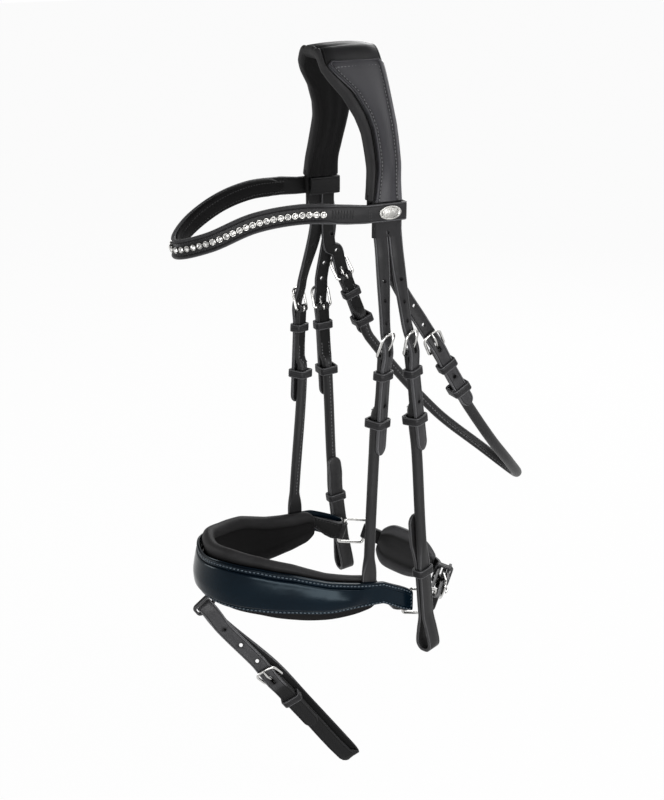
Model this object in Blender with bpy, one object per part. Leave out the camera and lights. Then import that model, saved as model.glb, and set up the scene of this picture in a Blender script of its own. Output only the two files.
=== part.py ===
"""Snaffle bridle: padded headpiece, browband, rolled cheekpieces and throatlash, crank noseband, flash.

Metres, +Z up. The origin is the underside of the headpiece pad at the poll. The nose points to -Y and
the near (left) side of the horse is +X.
"""

import math

import bmesh
import bpy
from mathutils import Matrix, Vector

# Clearances
TOUCH = 0.0003
PLAY = 0.0005

# Straps and rolled leather
STRAP_WIDTH = 0.0127
STRAP_THICK = 0.0030
ROLL_DIAMETER = 0.0095
TIP_LENGTH = 0.0085
HOLE_DIAMETER = 0.0032
HOLE_PITCH = 0.0195
HOLE_COUNT = 3
HOLE_SIDES = 6
HOLE_LINE_STEPS = 24

# Buckles, their prongs and the leather folded round their bars
BUCKLE_WIRE = 0.0026
BUCKLE_HEIGHT = 0.0185
BUCKLE_SIDE_PLAY = 0.0008
BUCKLE_TOP_RADIUS = 0.0055
PRONG_DIAMETER = 0.0020
PRONG_OVERHANG = 0.0016
PRONG_SWING = math.radians(15)
CHAPE_LAYER = 0.0020
CHAPE_LENGTH = 0.0450
TAIL_LENGTH = 0.0815
TAIL_HOLE = 0.55
BILLET_SETTLE = 0.75

# Keepers and loose runners
KEEPER_WALL = 0.0020
KEEPER_HEIGHT = 0.0075
KEEPER_AT = 0.0180
RUNNER_AT = 0.0615
ROLL_REACH = 0.0300

# Throatlash fittings, which are shorter
THROAT_CHAPE = 0.0330
THROAT_TAIL = 0.0550
THROAT_RUNNER_AT = 0.0460
THROAT_ROLL_REACH = 0.0200

# Headpiece: layers, and the brow where it splits into billets
PAD_THICK = 0.0080
OVERLAY_THICK = 0.0024
HEAD_THICK = 0.0034
CROWN_FLAT = 0.0100
BAND_MARGIN = 0.0008
OVERLAY_MARGIN = 0.0012
BROW_ROLL = 0.0032
BILLET_DRIFT = 0.0030
BILLET_ROOT = 0.0100
BILLET_STRAIGHT = 0.0160
THROAT_ROOT = 0.0100
THROAT_STRAIGHT = 0.0360
THROAT_CLEAR = 0.0020
BROW_HALF_WIDTH = 0.0605
BROW_FRONT = 0.0000
BILLET_INSET = 0.0004
BILLET_GAP = 0.0010
PAD_END_Z = -0.1085
SLIT_Z = -0.1385

# Browband and its stones
BROW_DEPTH = 0.0165
BROW_LOOP_DEPTH = 0.0155
BROW_LOOP_Z = -0.1172
BROW_FOLD_RADIUS = 0.0018
BROW_LOOP_LAP = 0.0100
BROW_LOOP_SEWN = 0.0120
BROW_LOOP_LEAD = 0.0080
BROW_LINING_THICK = 0.0040
BROW_LINING_MARGIN = 0.0010
STONE_COUNT = 47
STONE_PITCH = 0.0058
STONE_WIDTH = 0.0054
STONE_HEIGHT = 0.0032
BADGE_LENGTH = 0.0200
BADGE_HEIGHT = 0.0115
BADGE_THICK = 0.0016

# Noseband
NOSE_STRAP_THICK = 0.0030
NOSE_PANEL_EDGE = 0.0026
NOSE_PANEL_CROWN = 0.0038
NOSE_LINING_THICK = 0.0100
NOSE_FLANGE = 0.0100
NOSE_TAB_HEIGHT = 0.0180
NOSE_TAB_REACH = 0.0090
PANEL_SECTION = (
    (0, 0), (0, 0.6), (0.05, 1), (0.11, 0.75), (0.2, 0), (0.5, 0),
    (0.8, 0), (0.89, 0.75), (0.95, 1), (1, 0.6), (1, 0),
)
FOOT_RISE = 0.0200
FOOT_DEPTH = 0.0083
FOOT_WIDTH = 0.0142

# Rings and chin group, in a frame that slopes down to the rear
RING_WIRE = 0.0030
RING_LENGTH = 0.0280
RING_HEIGHT = 0.0250
RING_HALF_SPAN = 0.0655
RING_FRONT_Y = 0.0375
RING_Z = -0.4700
CHIN_SLOPE = math.radians(15)
CHIN_ROLL = math.radians(7.5)
CHIN_WIDTH = 0.0145
CHIN_ANGLE = math.radians(40)
CHIN_REACH = 0.0480
CHIN_PAD_HEIGHT = 0.0460
CHIN_PAD_THICK = 0.0095
CHIN_TAB = 0.0100
CHIN_CHAPE = 0.0240
CHIN_TAIL = 0.0300

# Bit end of the cheekpieces
BIT_WIDTH = 0.0140
BIT_LOOP_GAP = 0.0110
BIT_LOOP_LENGTH = 0.0300
BIT_LEG_LAP = 0.0120
STUD_PLATE = 0.0008
STUD_WIRE = 0.0024
STUD_HOOK = 0.0085
BIT_TWIST = {1: math.radians(20), -1: 0.0}
CHEEK_CLEAR = 0.0178
BIT_TAIL_REACH = {1: 0.0240, -1: 0.0140}

# Flash strap
FLASH_ANGLE = math.radians(36)
FLASH_TWIST = math.radians(20)
FLASH_WIDTH = 0.0145
FLASH_SKEW = 0.0045
FLASH_PIVOT_Y = -0.1336
FLASH_PIVOT_Z = -0.4735
FLASH_LENGTH = 0.2525
FLASH_BUCKLE_AT = 0.1145
FLASH_LOOP_WALL = 0.0022
FLASH_TAB_REACH = 0.0080
FLASH_LOOP_WIDTH = 0.0075
FLASH_LOOP_OPEN = 0.0075
FLASH_TAIL = 0.0620
FLASH_BEND = 0.0090
FLASH_ROUND = 0.0022
FLASH_FREE = 0.0300
FLASH_HOLES = 3
FLASH_HOLE_AT = 0.0310
FLASH_HOLE_PITCH = 0.0275
FLASH_KEEPER_AT = 0.0295

# Chin strap behind its pad, in the frame of the rings: x, y
CHIN_LINE = (
    (-0.0530, 0.0385, 0),
    (-0.0430, 0.0468, 0),
    (-0.0220, 0.0640, 0),
    (-0.0030, 0.0738, 0),
)

# Routes: hinge bar of each buckle, a point of the strap below it, and points further down
CHEEK_SPAN = RING_HALF_SPAN + CHEEK_CLEAR
HANGER_BAR = {1: (0.0780, 0.0030, -0.2350), -1: (-0.0780, 0.0020, -0.2350)}
HANGER_FOOT = {1: (0.0712, -0.0045, -0.4410), -1: (-0.0712, -0.0100, -0.4322)}
CHEEK_BAR = {1: (0.0785, 0.0280, -0.2360), -1: (-0.0785, 0.0240, -0.2360)}
CHEEK_RUN = {1: (0.0800, 0.0375, -0.3160), -1: (-0.0800, 0.0290, -0.3160)}
CHEEK_END = {1: (CHEEK_SPAN, 0.0430, -0.4210), -1: (-CHEEK_SPAN, 0.0365, -0.4100)}
BIT_BOTTOM = {1: (CHEEK_SPAN, 0.0530, -0.5230), -1: (-CHEEK_SPAN, 0.0495, -0.5110)}
THROAT_BAR = {1: (0.0700, 0.0600, -0.2405), -1: (-0.0630, 0.0400, -0.2050)}
THROAT_RUN = {1: (0.0700, 0.1030, -0.3120), -1: (-0.0640, 0.0685, -0.2775)}
THROAT_LOOP = (
    (0.0615, 0.1235, -0.3365),
    (0.0400, 0.1595, -0.3740),
    (0.0050, 0.1900, -0.4020),
    (-0.0330, 0.1790, -0.3900),
    (-0.0570, 0.1340, -0.3490),
)

# How far each strap's face turns to the rear of straight outwards
FACING = {
    ("hanger", 1): math.radians(27), ("hanger", -1): math.radians(-30),
    ("cheek", 1): math.radians(27), ("cheek", -1): 0.0,
    ("throat", 1): 0.0, ("throat", -1): 0.0,
}

# Headpiece arch, near half from the crown down: x and drop of the leather's inner face, the front and
# rear edges (y) of the pad, and how far its rolled front stands out of the strap
ARCH = (
    (0.0000, 0.0000, -0.0275, 0.0285, 0.0040),
    (0.0125, 0.0006, -0.0280, 0.0290, 0.0040),
    (0.0215, 0.0115, -0.0262, 0.0296, 0.0047),
    (0.0265, 0.0195, -0.0222, 0.0300, 0.0057),
    (0.0335, 0.0325, -0.0125, 0.0303, 0.0063),
    (0.0410, 0.0490, -0.0045, 0.0306, 0.0067),
    (0.0465, 0.0625, -0.0010, 0.0307, 0.0066),
    (0.0560, 0.0880, -0.0008, 0.0292, 0.0058),
    (0.0588, 0.1010, -0.0020, 0.0277, 0.0045),
)
OVERLAY_ROW = 2

# Noseband, near half from the front: x, y, then top and bottom (z) of the panel and of the lining, and
# how much higher the far side hangs there
NOSE = (
    (0.0000, -0.1300, -0.424, -0.462, -0.413, -0.463, 0.0000),
    (0.0290, -0.1225, -0.421, -0.462, -0.411, -0.467, -0.0015),
    (0.0500, -0.1010, -0.423, -0.463, -0.415, -0.470, -0.0030),
    (0.0630, -0.0740, -0.429, -0.465, -0.422, -0.475, 0.0005),
    (0.0695, -0.0440, -0.439, -0.469, -0.434, -0.479, 0.0035),
    (0.0712, -0.0180, -0.445, -0.469, -0.441, -0.479, 0.0075),
    (0.0712, 0.0080, -0.449, -0.470, -0.446, -0.476, 0.0110),
    (0.0690, 0.0305, -0.4605, -0.4825, -0.4555, -0.4825, 0.0140),
)

# Browband, near half from the loop to the front: x, y, z of its middle line
BROW_LINE = (
    (0.0655, -0.0240, -0.1158),
    (0.0540, -0.0600, -0.1145),
    (0.0410, -0.0960, -0.1208),
    (0.0270, -0.1300, -0.1359),
    (0.0000, -0.1490, -0.1450),
)

ARCH_STEPS = 2
BROW_STEPS = 3
NOSE_STEPS = 2
ROLL_SIDES = 8
SIDES = {1: "near", -1: "far"}
X_AXIS = Vector((1, 0, 0))
Y_AXIS = Vector((0, 1, 0))
Z_AXIS = Vector((0, 0, 1))

# Sizes that follow from the ones above
EYE_BORE = BUCKLE_WIRE / 2 + TOUCH
EYE_RADIUS = EYE_BORE + CHAPE_LAYER
PRONG_LOOP = BUCKLE_WIRE / 2 + PLAY + PRONG_DIAMETER / 2
SLOT_WIDTH = PRONG_DIAMETER + 4 * PLAY
BILLET_OVER_BAR = EYE_RADIUS + TOUCH + STRAP_THICK / 2
TAIL_LIFT = CHAPE_LAYER + TOUCH + STRAP_THICK / 2
ROLL_LIFT = CHAPE_LAYER - ROLL_DIAMETER / 2
BILLET_LEAD = 1.5 * BUCKLE_HEIGHT
FRONT_BILLET_Y = BROW_FRONT + BILLET_INSET + STRAP_WIDTH / 2
REAR_BILLET_Y = FRONT_BILLET_Y + STRAP_WIDTH + BILLET_GAP
BROW_REAR = REAR_BILLET_Y + STRAP_WIDTH / 2 + BILLET_INSET
HEAD_MID = BROW_HALF_WIDTH + TOUCH + HEAD_THICK / 2
THROAT_MID = BROW_HALF_WIDTH - STRAP_THICK / 2


def clear_scene():
    for found in list(bpy.data.objects):
        bpy.data.objects.remove(found, do_unlink=True)


def make_material(name, colour, roughness, metallic):
    made = bpy.data.materials.new(name)
    made.use_nodes = True
    shader = made.node_tree.nodes["Principled BSDF"]
    shader.inputs["Base Color"].default_value = (*colour, 1)
    shader.inputs["Roughness"].default_value = roughness
    shader.inputs["Metallic"].default_value = metallic
    return made


def add_object(name, mesh_data, material, place=None):
    """A named object from a bmesh, whose points are in the frame that place gives."""
    mesh = bpy.data.meshes.new(name)
    mesh_data.to_mesh(mesh)
    mesh_data.free()
    mesh.shade_smooth()
    mesh.set_sharp_from_angle(angle=math.radians(35))
    made = bpy.data.objects.new(name, mesh)
    if material:
        mesh.materials.append(material)
    if place:
        made.matrix_world = place
    bpy.context.scene.collection.objects.link(made)
    return made


def add_cutter(name, mesh_data, place=None):
    made = add_object(name, mesh_data, None, place)
    made.hide_render = True
    made.display_type = "WIRE"
    return made


def combine(target, other, operation):
    boolean = target.modifiers.new(f"{operation.lower()} {other.name}", "BOOLEAN")
    boolean.operation = operation
    boolean.object = other
    boolean.solver = "EXACT"


def seat(origin, along, outward):
    """Frame of a fitting: x across the strap, y along it, z out of its face."""
    y = Vector(along).normalized()
    z = Vector(outward)
    z = (z - z.dot(y) * y).normalized()
    x = y.cross(z)
    frame = Matrix((x, y, z)).transposed().to_4x4()
    frame.translation = Vector(origin)
    return frame


def across(frame):
    return frame.col[0].xyz


def ease(share):
    share = min(max(share, 0), 1)
    return share * share * (3 - 2 * share)


def section(width, thick, square, sides):
    """Closed outline from an ellipse (square 2) to a strap with rounded edges (square 10)."""
    turn = math.pi / sides
    peak = math.cos(turn) ** (2 / square)
    points = []
    for k in range(sides):
        angle = turn * (2 * k + 1)
        x, y = math.cos(angle), math.sin(angle)
        x = math.copysign(abs(x) ** (2 / square), x)
        y = math.copysign(abs(y) ** (2 / square), y)
        points.append((x / peak / 2 * width, y / peak / 2 * thick))
    return points


def loft(rings, closed=False):
    """Skin over rings of points, with flat caps unless the rings close on themselves."""
    made = bmesh.new()
    loops = [[made.verts.new(point) for point in ring] for ring in rings]
    pairs = list(zip(loops, loops[1:]))
    if closed:
        pairs.append((loops[-1], loops[0]))
    else:
        made.faces.new(loops[0])
        made.faces.new(loops[-1])
    for low, high in pairs:
        for k in range(len(low)):
            after = (k + 1) % len(low)
            made.faces.new((low[k], low[after], high[after], high[k]))
    bmesh.ops.recalc_face_normals(made, faces=made.faces)
    return made


def hermite(start, leave, end, arrive, share):
    """Point of a curve between two points with the given ways at its ends."""
    rest = 1 - share
    swing = start * (1 + 2 * share) * rest**2 + end * (1 + 2 * rest) * share**2
    return swing + leave * share * rest**2 - arrive * rest * share**2


def smooth_line(points, steps):
    """Points of a smooth curve, steps[i] of them from points[i] to the next."""
    points = [Vector(point) for point in points]
    gaps = [max((b - a).length, TOUCH) for a, b in zip(points, points[1:])]
    slopes = [(b - a) / gap for a, b, gap in zip(points, points[1:], gaps)]
    ways = [slopes[0]]
    for i in range(1, len(slopes)):
        ways.append((points[i + 1] - points[i - 1]) / (gaps[i - 1] + gaps[i]))
    ways.append(slopes[-1])
    line = []
    for i, gap in enumerate(gaps):
        for k in range(steps[i]):
            line.append(hermite(points[i], ways[i] * gap, points[i + 1], ways[i + 1] * gap, k / steps[i]))
    line.append(points[-1])
    return line


def tangents(line, closed=False):
    count = len(line)
    found = []
    for i in range(count):
        ahead = line[(i + 1) % count] if closed else line[min(i + 1, count - 1)]
        behind = line[i - 1] if closed else line[max(i - 1, 0)]
        found.append((ahead - behind).normalized())
    return found


def ring_at(point, along, side, outline):
    """Outline set square to along, with its width as near to side as it goes."""
    width = (side - side.dot(along) * along).normalized()
    thick = along.cross(width)
    return [point + width * x + thick * y for x, y in outline]


class Station:
    """One place on a strap: its middle, the way its width points, and its section there."""

    def __init__(self, at, side, width, thick, square=10, steps=1):
        self.at = Vector(at)
        self.side = Vector(side)
        self.size = Vector((width, thick, square))
        self.steps = steps


def strap(stations, sides=8):
    """Leather strap or roll through stations, its section easing from each to the next."""
    line = smooth_line([s.at for s in stations], [s.steps for s in stations])
    turns = tangents(line)
    rings = []
    for here, there in zip(stations, stations[1:] + stations[-1:]):
        for k in range(here.steps if there is not here else 1):
            share = ease(k / here.steps)
            size = here.size.lerp(there.size, share)
            side = here.side.lerp(there.side, share)
            i = len(rings)
            rings.append(ring_at(line[i], turns[i], side, section(*size, sides)))
    return loft(rings)


def tip_stations(end, along, side, width, thick):
    """Rounded end of a strap that arrives at end."""
    stations = []
    for share, narrow in ((0.55, 0.92), (0.88, 0.66), (1.0, 0.36)):
        stations.append(Station(end + along * TIP_LENGTH * share, side, width * narrow, thick))
    return stations


def prism(outline, low, high, axis):
    """Outline (two coordinates) carried from low to high along a local axis (0, 1 or 2)."""
    made = bmesh.new()
    corners = []
    for a, b in outline:
        place = [a, b]
        place.insert(axis, low)
        corners.append(made.verts.new(place))
    face = made.faces.new(corners)
    grown = bmesh.ops.extrude_face_region(made, geom=[face])
    move = Vector((0, 0, 0))
    move[axis] = high - low
    moved = [item for item in grown["geom"] if isinstance(item, bmesh.types.BMVert)]
    bmesh.ops.translate(made, verts=moved, vec=move)
    bmesh.ops.recalc_face_normals(made, faces=made.faces)
    return made


def circle(radius, sides, centre=(0, 0)):
    points = []
    for k in range(sides):
        angle = 2 * math.pi * k / sides
        points.append((centre[0] + radius * math.cos(angle), centre[1] + radius * math.sin(angle)))
    return points


def stadium(low, high, half_width, sides=4):
    """Slot outline, low to high along its second coordinate."""
    points = []
    for end, start in ((high - half_width, 0), (low + half_width, math.pi)):
        for k in range(sides + 1):
            angle = start + math.pi * k / sides
            points.append((half_width * math.cos(angle), end + half_width * math.sin(angle)))
    return points


def rounded_box(half_x, half_y, radii, corner_steps=3):
    """Outline of a box with its own radius at each corner, from the +x +y one round."""
    points = []
    signs = ((1, 1), (-1, 1), (-1, -1), (1, -1))
    for turn, ((sx, sy), radius) in enumerate(zip(signs, radii)):
        centre = (sx * (half_x - radius), sy * (half_y - radius))
        for k in range(corner_steps + 1):
            angle = math.pi / 2 * (turn + k / corner_steps)
            points.append((centre[0] + radius * math.cos(angle), centre[1] + radius * math.sin(angle)))
    return points


def wire_loop(line, diameter, sides=6):
    """Closed wire along a line of points."""
    middle = sum(line, Vector()) / len(line)
    normal = (line[0] - middle).cross(line[1] - middle).normalized()
    round_wire = section(diameter, diameter, 2, sides)
    rings = [ring_at(p, t, normal, round_wire) for p, t in zip(line, tangents(line, True))]
    return loft(rings, closed=True)


def band_loop(outline, wall, low, high, axis):
    """Closed leather band round an outline, with its height along a local axis."""
    made = bmesh.new()
    inner = outline
    count = len(inner)
    outer = []
    for k in range(count):
        before = Vector(inner[k - 1])
        here = Vector(inner[k])
        after = Vector(inner[(k + 1) % count])
        away = ((here - before).normalized() + (after - here).normalized()).normalized()
        outer.append(here + wall * Vector((away.y, -away.x)))
    rows = []
    for level, ring in ((low, inner), (high, inner), (high, outer), (low, outer)):
        row = []
        for a, b in ring:
            place = [a, b]
            place.insert(axis, level)
            row.append(made.verts.new(place))
        rows.append(row)
    for row, other in zip(rows, rows[1:] + rows[:1]):
        for k in range(count):
            after = (k + 1) % count
            made.faces.new((row[k], row[after], other[after], other[k]))
    bmesh.ops.recalc_face_normals(made, faces=made.faces)
    return made


# Buckles


def billet_lift(along):
    """Height of a billet's middle over the bar's plane: behind the top bar, over the hinge bar, down."""
    if along < 0:
        return BILLET_OVER_BAR * ease(1 + along / BILLET_LEAD)
    return BILLET_OVER_BAR + (TAIL_LIFT - BILLET_OVER_BAR) * ease(along / BUCKLE_HEIGHT / BILLET_SETTLE)


def top_bar_lift():
    lean = (billet_lift(-BUCKLE_HEIGHT * 0.95) - billet_lift(-BUCKLE_HEIGHT * 1.05)) / (0.1 * BUCKLE_HEIGHT)
    stack = STRAP_THICK / 2 + TOUCH + BUCKLE_WIRE / 2
    return billet_lift(-BUCKLE_HEIGHT) + stack * math.hypot(1, lean) + 2 * PLAY


def buckle_line(width):
    """Middle line of a frame: hinge bar along x, sides rising to the curved top bar."""
    half = width / 2 + BUCKLE_SIDE_PLAY + BUCKLE_WIRE / 2
    slant = math.hypot(BUCKLE_HEIGHT, top_bar_lift())
    low_radius = BUCKLE_SIDE_PLAY + BUCKLE_WIRE / 2
    outline = rounded_box(half, slant / 2, (BUCKLE_TOP_RADIUS, BUCKLE_TOP_RADIUS, low_radius, low_radius))
    rise = top_bar_lift() / slant
    fall = -BUCKLE_HEIGHT / slant
    return [Vector((x, (y + slant / 2) * fall, (y + slant / 2) * rise)) for x, y in outline]


def add_buckle(name, frame, width=STRAP_WIDTH):
    add_object(name, wire_loop(buckle_line(width), BUCKLE_WIRE), NICKEL, frame)


def tongue_line():
    """Middle line of a prong: tip on the top bar, through the billet, then round the hinge bar."""
    rest = top_bar_lift() + BUCKLE_WIRE / 2 + TOUCH + PRONG_DIAMETER / 2
    clear = STRAP_THICK / 2 + PRONG_DIAMETER / 2 + 2 * PLAY
    through = -0.26 * BUCKLE_HEIGHT
    front = -0.52 * BUCKLE_HEIGHT
    points = [
        Vector((0, -BUCKLE_HEIGHT - PRONG_OVERHANG, rest)),
        Vector((0, 0.5 * (front - BUCKLE_HEIGHT), rest + PLAY)),
        Vector((0, front, billet_lift(front) + clear)),
        Vector((0, through, billet_lift(through))),
    ]
    line = smooth_line(points, [1, 2, 2])
    for k in range(7):
        angle = math.radians(100 - 40 * k)
        line.append(Vector((0, PRONG_LOOP * math.cos(angle), PRONG_LOOP * math.sin(angle))))
    return line


def add_prong(name, frame):
    line = tongue_line()
    round_wire = section(PRONG_DIAMETER, PRONG_DIAMETER, 2, 6)
    rings = [ring_at(p, t, X_AXIS, round_wire) for p, t in zip(line, tangents(line))]
    add_object(name, loft(rings), NICKEL, frame)


def prong_hole(name, frame):
    """Oval hole that lets the prong swing through the billet."""
    reach = []
    for swing in (0, 0.5 * PRONG_SWING, PRONG_SWING):
        turned = Matrix.Rotation(-swing, 3, "X")
        line = smooth_line([turned @ p for p in tongue_line()], [4] * (len(tongue_line()) - 1))
        for point in line:
            if abs(point.z - billet_lift(point.y)) < STRAP_THICK / 2 + PRONG_DIAMETER / 2 and point.y < 0:
                reach.append(point.y)
    spare = PRONG_DIAMETER / 2 + PLAY
    outline = stadium(min(reach) - spare, max(reach) + spare, spare)
    return add_cutter(name, prism(outline, 0, 3 * BILLET_OVER_BAR, 2), frame)


def billet_stations(frame, width, tail, lead=True):
    """A billet's stretch through its buckle and its tail below it."""
    side = across(frame)
    stops = (-1.5, -1, -0.7, -0.3, 0, 0.4 * BILLET_SETTLE, BILLET_SETTLE)
    stations = []
    for share in stops if lead else stops[1:]:
        u = share * BUCKLE_HEIGHT
        stations.append(Station(frame @ Vector((0, u, billet_lift(u))), side, width, STRAP_THICK))
    end = frame @ Vector((0, tail, TAIL_LIFT))
    stations.append(Station(end, side, width, STRAP_THICK))
    return stations + tip_stations(end, frame.col[1].xyz, side, width, STRAP_THICK)


def hole_cutters(name, places, direction):
    """Punched holes at places, each along direction."""
    made = bmesh.new()
    for place in places:
        turn = Z_AXIS.rotation_difference(direction).to_matrix().to_4x4()
        drilled = bmesh.ops.create_cone(
            made, cap_ends=True, segments=HOLE_SIDES, radius1=HOLE_DIAMETER / 2, radius2=HOLE_DIAMETER / 2,
            depth=3 * STRAP_THICK, matrix=Matrix.Translation(place) @ turn,
        )
        bmesh.ops.recalc_face_normals(made, faces=list({f for v in drilled["verts"] for f in v.link_faces}))
    return add_cutter(name, made)


def chape_width(width):
    return width - 2 * PLAY


def fold_eye(target, frame, width, bore, wall, slot):
    """Leather folded round a bar: a tube joined to the strap, with a slot for the prong if slot."""
    outline = circle(bore, 14)
    half = width / 2 - TOUCH
    eye = band_loop(outline, wall, -half, half, 0)
    combine(target, add_cutter(f"{target.name} eye", eye, frame.copy()), "UNION")
    if slot:
        reach = bore + wall + 2 * PLAY
        gap = stadium(-reach, reach + PLAY, SLOT_WIDTH / 2)
        cut = prism(gap, -reach, reach, 2)
        combine(target, add_cutter(f"{target.name} slot", cut, frame.copy()), "DIFFERENCE")


def chape_stations(frame, width, length, layer=CHAPE_LAYER, bore=EYE_BORE, steps=1):
    """Doubled leather from inside the wall of its fold down to length."""
    side = across(frame)
    start = bore + 0.5 * layer
    stations = []
    for u, share in ((start, 1), (length, steps)):
        stations.append(Station(frame @ Vector((0, u, 0)), side, width, 2 * layer, steps=share))
    return stations


def keeper_outline(low, high, width):
    """Inside of a keeper round what lies from low to high over the bar's plane."""
    half = (high - low) / 2
    mid = (high + low) / 2
    radius = 0.25 * STRAP_THICK
    corners = rounded_box(width / 2, half, (radius,) * 4, 1)
    return [(x, y + mid) for x, y in corners]


def add_keeper(name, frame, at, low, high, width, material, height=KEEPER_HEIGHT):
    outline = keeper_outline(low, high, width)
    place = frame @ Matrix.Translation((0, at, 0))
    made = band_loop(outline, KEEPER_WALL, -height / 2, height / 2, 1)
    return add_object(name, made, material, place)


def fixed_keeper(name, frame, at=KEEPER_AT, width=STRAP_WIDTH):
    top = TAIL_LIFT + STRAP_THICK / 2 + TOUCH
    add_keeper(name, frame, at, -CHAPE_LAYER - TOUCH, top, width + 2 * TOUCH, BLACK)


def loose_runner(name, frame, at):
    low = ROLL_LIFT - ROLL_DIAMETER / 2 - PLAY
    top = TAIL_LIFT + STRAP_THICK / 2 + PLAY
    add_keeper(name, frame, at, low, top, STRAP_WIDTH + 2 * PLAY, BLACK)


def roll_station(at, side, steps=1):
    return Station(at, side, ROLL_DIAMETER, ROLL_DIAMETER, 2, steps)


def roll_start(frame, steps=1, chape=CHAPE_LENGTH):
    """Where the doubled leather has rolled up, its front still level with the fold's front."""
    return roll_station(frame @ Vector((0, chape + ROLL_DIAMETER, ROLL_LIFT)), across(frame), steps)


# Frames of the fittings


def outward(side):
    return X_AXIS * side


def between(start, end):
    return Vector(end) - Vector(start)


def facing(kind, side):
    turn = FACING[kind, side]
    return outward(side) * math.cos(turn) + Y_AXIS * math.sin(turn)


def hanger_seat(side):
    return seat(HANGER_BAR[side], between(HANGER_BAR[side], HANGER_FOOT[side]), facing("hanger", side))


def cheek_seat(side):
    return seat(CHEEK_BAR[side], between(CHEEK_BAR[side], CHEEK_RUN[side]), facing("cheek", side))


def throat_seat(side):
    return seat(THROAT_BAR[side], between(THROAT_BAR[side], THROAT_RUN[side]), facing("throat", side))


def flash_frame():
    """Frame of the flash strap: y down its length, z towards the near side, on the swing axis."""
    along = Vector((0, math.sin(FLASH_ANGLE), -math.cos(FLASH_ANGLE)))
    return seat((0, FLASH_PIVOT_Y, FLASH_PIVOT_Z), along, X_AXIS)


def flash_hang():
    """The flash frame turned about its length, as the two layers hang."""
    return flash_frame() @ Matrix.Rotation(FLASH_TWIST, 4, "Y")


def chin_frame():
    """Frame of the rings and chin group: x near and a little down, y to the rear, z along the bars."""
    near = Vector((math.cos(CHIN_ROLL), 0, -math.sin(CHIN_ROLL)))
    rear = Vector((0, math.cos(CHIN_SLOPE), -math.sin(CHIN_SLOPE)))
    rear = (rear - rear.dot(near) * near).normalized()
    frame = Matrix((near, rear, near.cross(rear))).transposed().to_4x4()
    frame.translation = Vector((0, RING_FRONT_Y, RING_Z))
    return frame


# Headpiece


def arch_row(x, z, front, rear, roll):
    """Place of the arch and the edges of its pad, strap and overlay there."""
    strap_front = front + roll
    strap_rear = rear - BAND_MARGIN
    return {
        "way": Vector((x, 0, z)),
        "pad": Vector((front, rear, 0)),
        "strap": Vector((strap_front, strap_rear, 0)),
        "overlay": Vector((strap_front + OVERLAY_MARGIN, strap_rear - OVERLAY_MARGIN, 0)),
    }


def arch_rows(stop):
    """Rows of the whole arch from far to near, carried straight down to stop at the brow."""
    half = [(x, PAD_THICK - drop, *edges) for x, drop, *edges in ARCH]
    brow = (BROW_FRONT - BROW_ROLL, BROW_REAR + BAND_MARGIN, BROW_ROLL)
    half.append((BROW_HALF_WIDTH - TOUCH, PAD_END_Z, *brow))
    if stop < PAD_END_Z:
        half.append((BROW_HALF_WIDTH, (PAD_END_Z + BROW_LOOP_Z) / 2, *brow))
        half.append((BROW_HALF_WIDTH, stop, *brow))
    far = [(-row[0], *row[1:]) for row in half[1:]]
    return [arch_row(*row) for row in far[::-1] + half]


def arch_frames(stop, layer):
    """Places along the arch, each with the way out of it and the edges of a layer."""
    rows = arch_rows(stop)
    steps = [ARCH_STEPS] * (len(rows) - 1)
    ways = smooth_line([row["way"] for row in rows], steps)
    edges = smooth_line([row[layer] for row in rows], steps)
    frames = []
    for way, turn, edge in zip(ways, tangents(ways), edges):
        if abs(way.x) < CROWN_FLAT:
            way.z = PAD_THICK
            turn = X_AXIS
        frames.append((way, turn.cross(Y_AXIS), edge))
    return frames


def arch_layer(frames, low, high, square, sides):
    """Solid between two heights over the arch's inner face."""
    rings = []
    for way, out, edge in frames:
        middle = way + Y_AXIS * (edge.x + edge.y) / 2 + out * (high + low) / 2
        outline = section(edge.y - edge.x, high - low, square, sides)
        rings.append([middle + Y_AXIS * x + out * y for x, y in outline])
    return loft(rings)


def billet_run(side, y, frame):
    """A billet from its root in the headpiece strap through its buckle."""
    run = []
    for drift, z, steps in ((0, SLIT_Z + BILLET_ROOT, 1), (BILLET_DRIFT, SLIT_Z - BILLET_STRAIGHT, 5)):
        at = (side * HEAD_MID, y + drift, z)
        run.append(Station(at, -Y_AXIS * side, STRAP_WIDTH, STRAP_THICK, steps=steps))
    return run + billet_stations(frame, STRAP_WIDTH, TAIL_LENGTH)


def billet_holes(name, stations, frame, tail=TAIL_LENGTH):
    """Row of spare holes up from the buckle, and one in the tail."""
    start = stations[1].at
    end = frame @ Vector((0, -BILLET_LEAD, 0))
    over = frame @ Vector((0, 0, BILLET_OVER_BAR))
    way = smooth_line([stations[0].at, start, end, over], [1, HOLE_LINE_STEPS, 1])[1:-1]
    places = []
    for k in range(HOLE_COUNT):
        share = 1 - k * HOLE_PITCH / (end - start).length
        places.append(way[max(round(share * HOLE_LINE_STEPS), 0)])
    places.append(frame @ Vector((0, TAIL_HOLE * tail, TAIL_LIFT)))
    return hole_cutters(name, places, frame.col[2].xyz)


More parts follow.
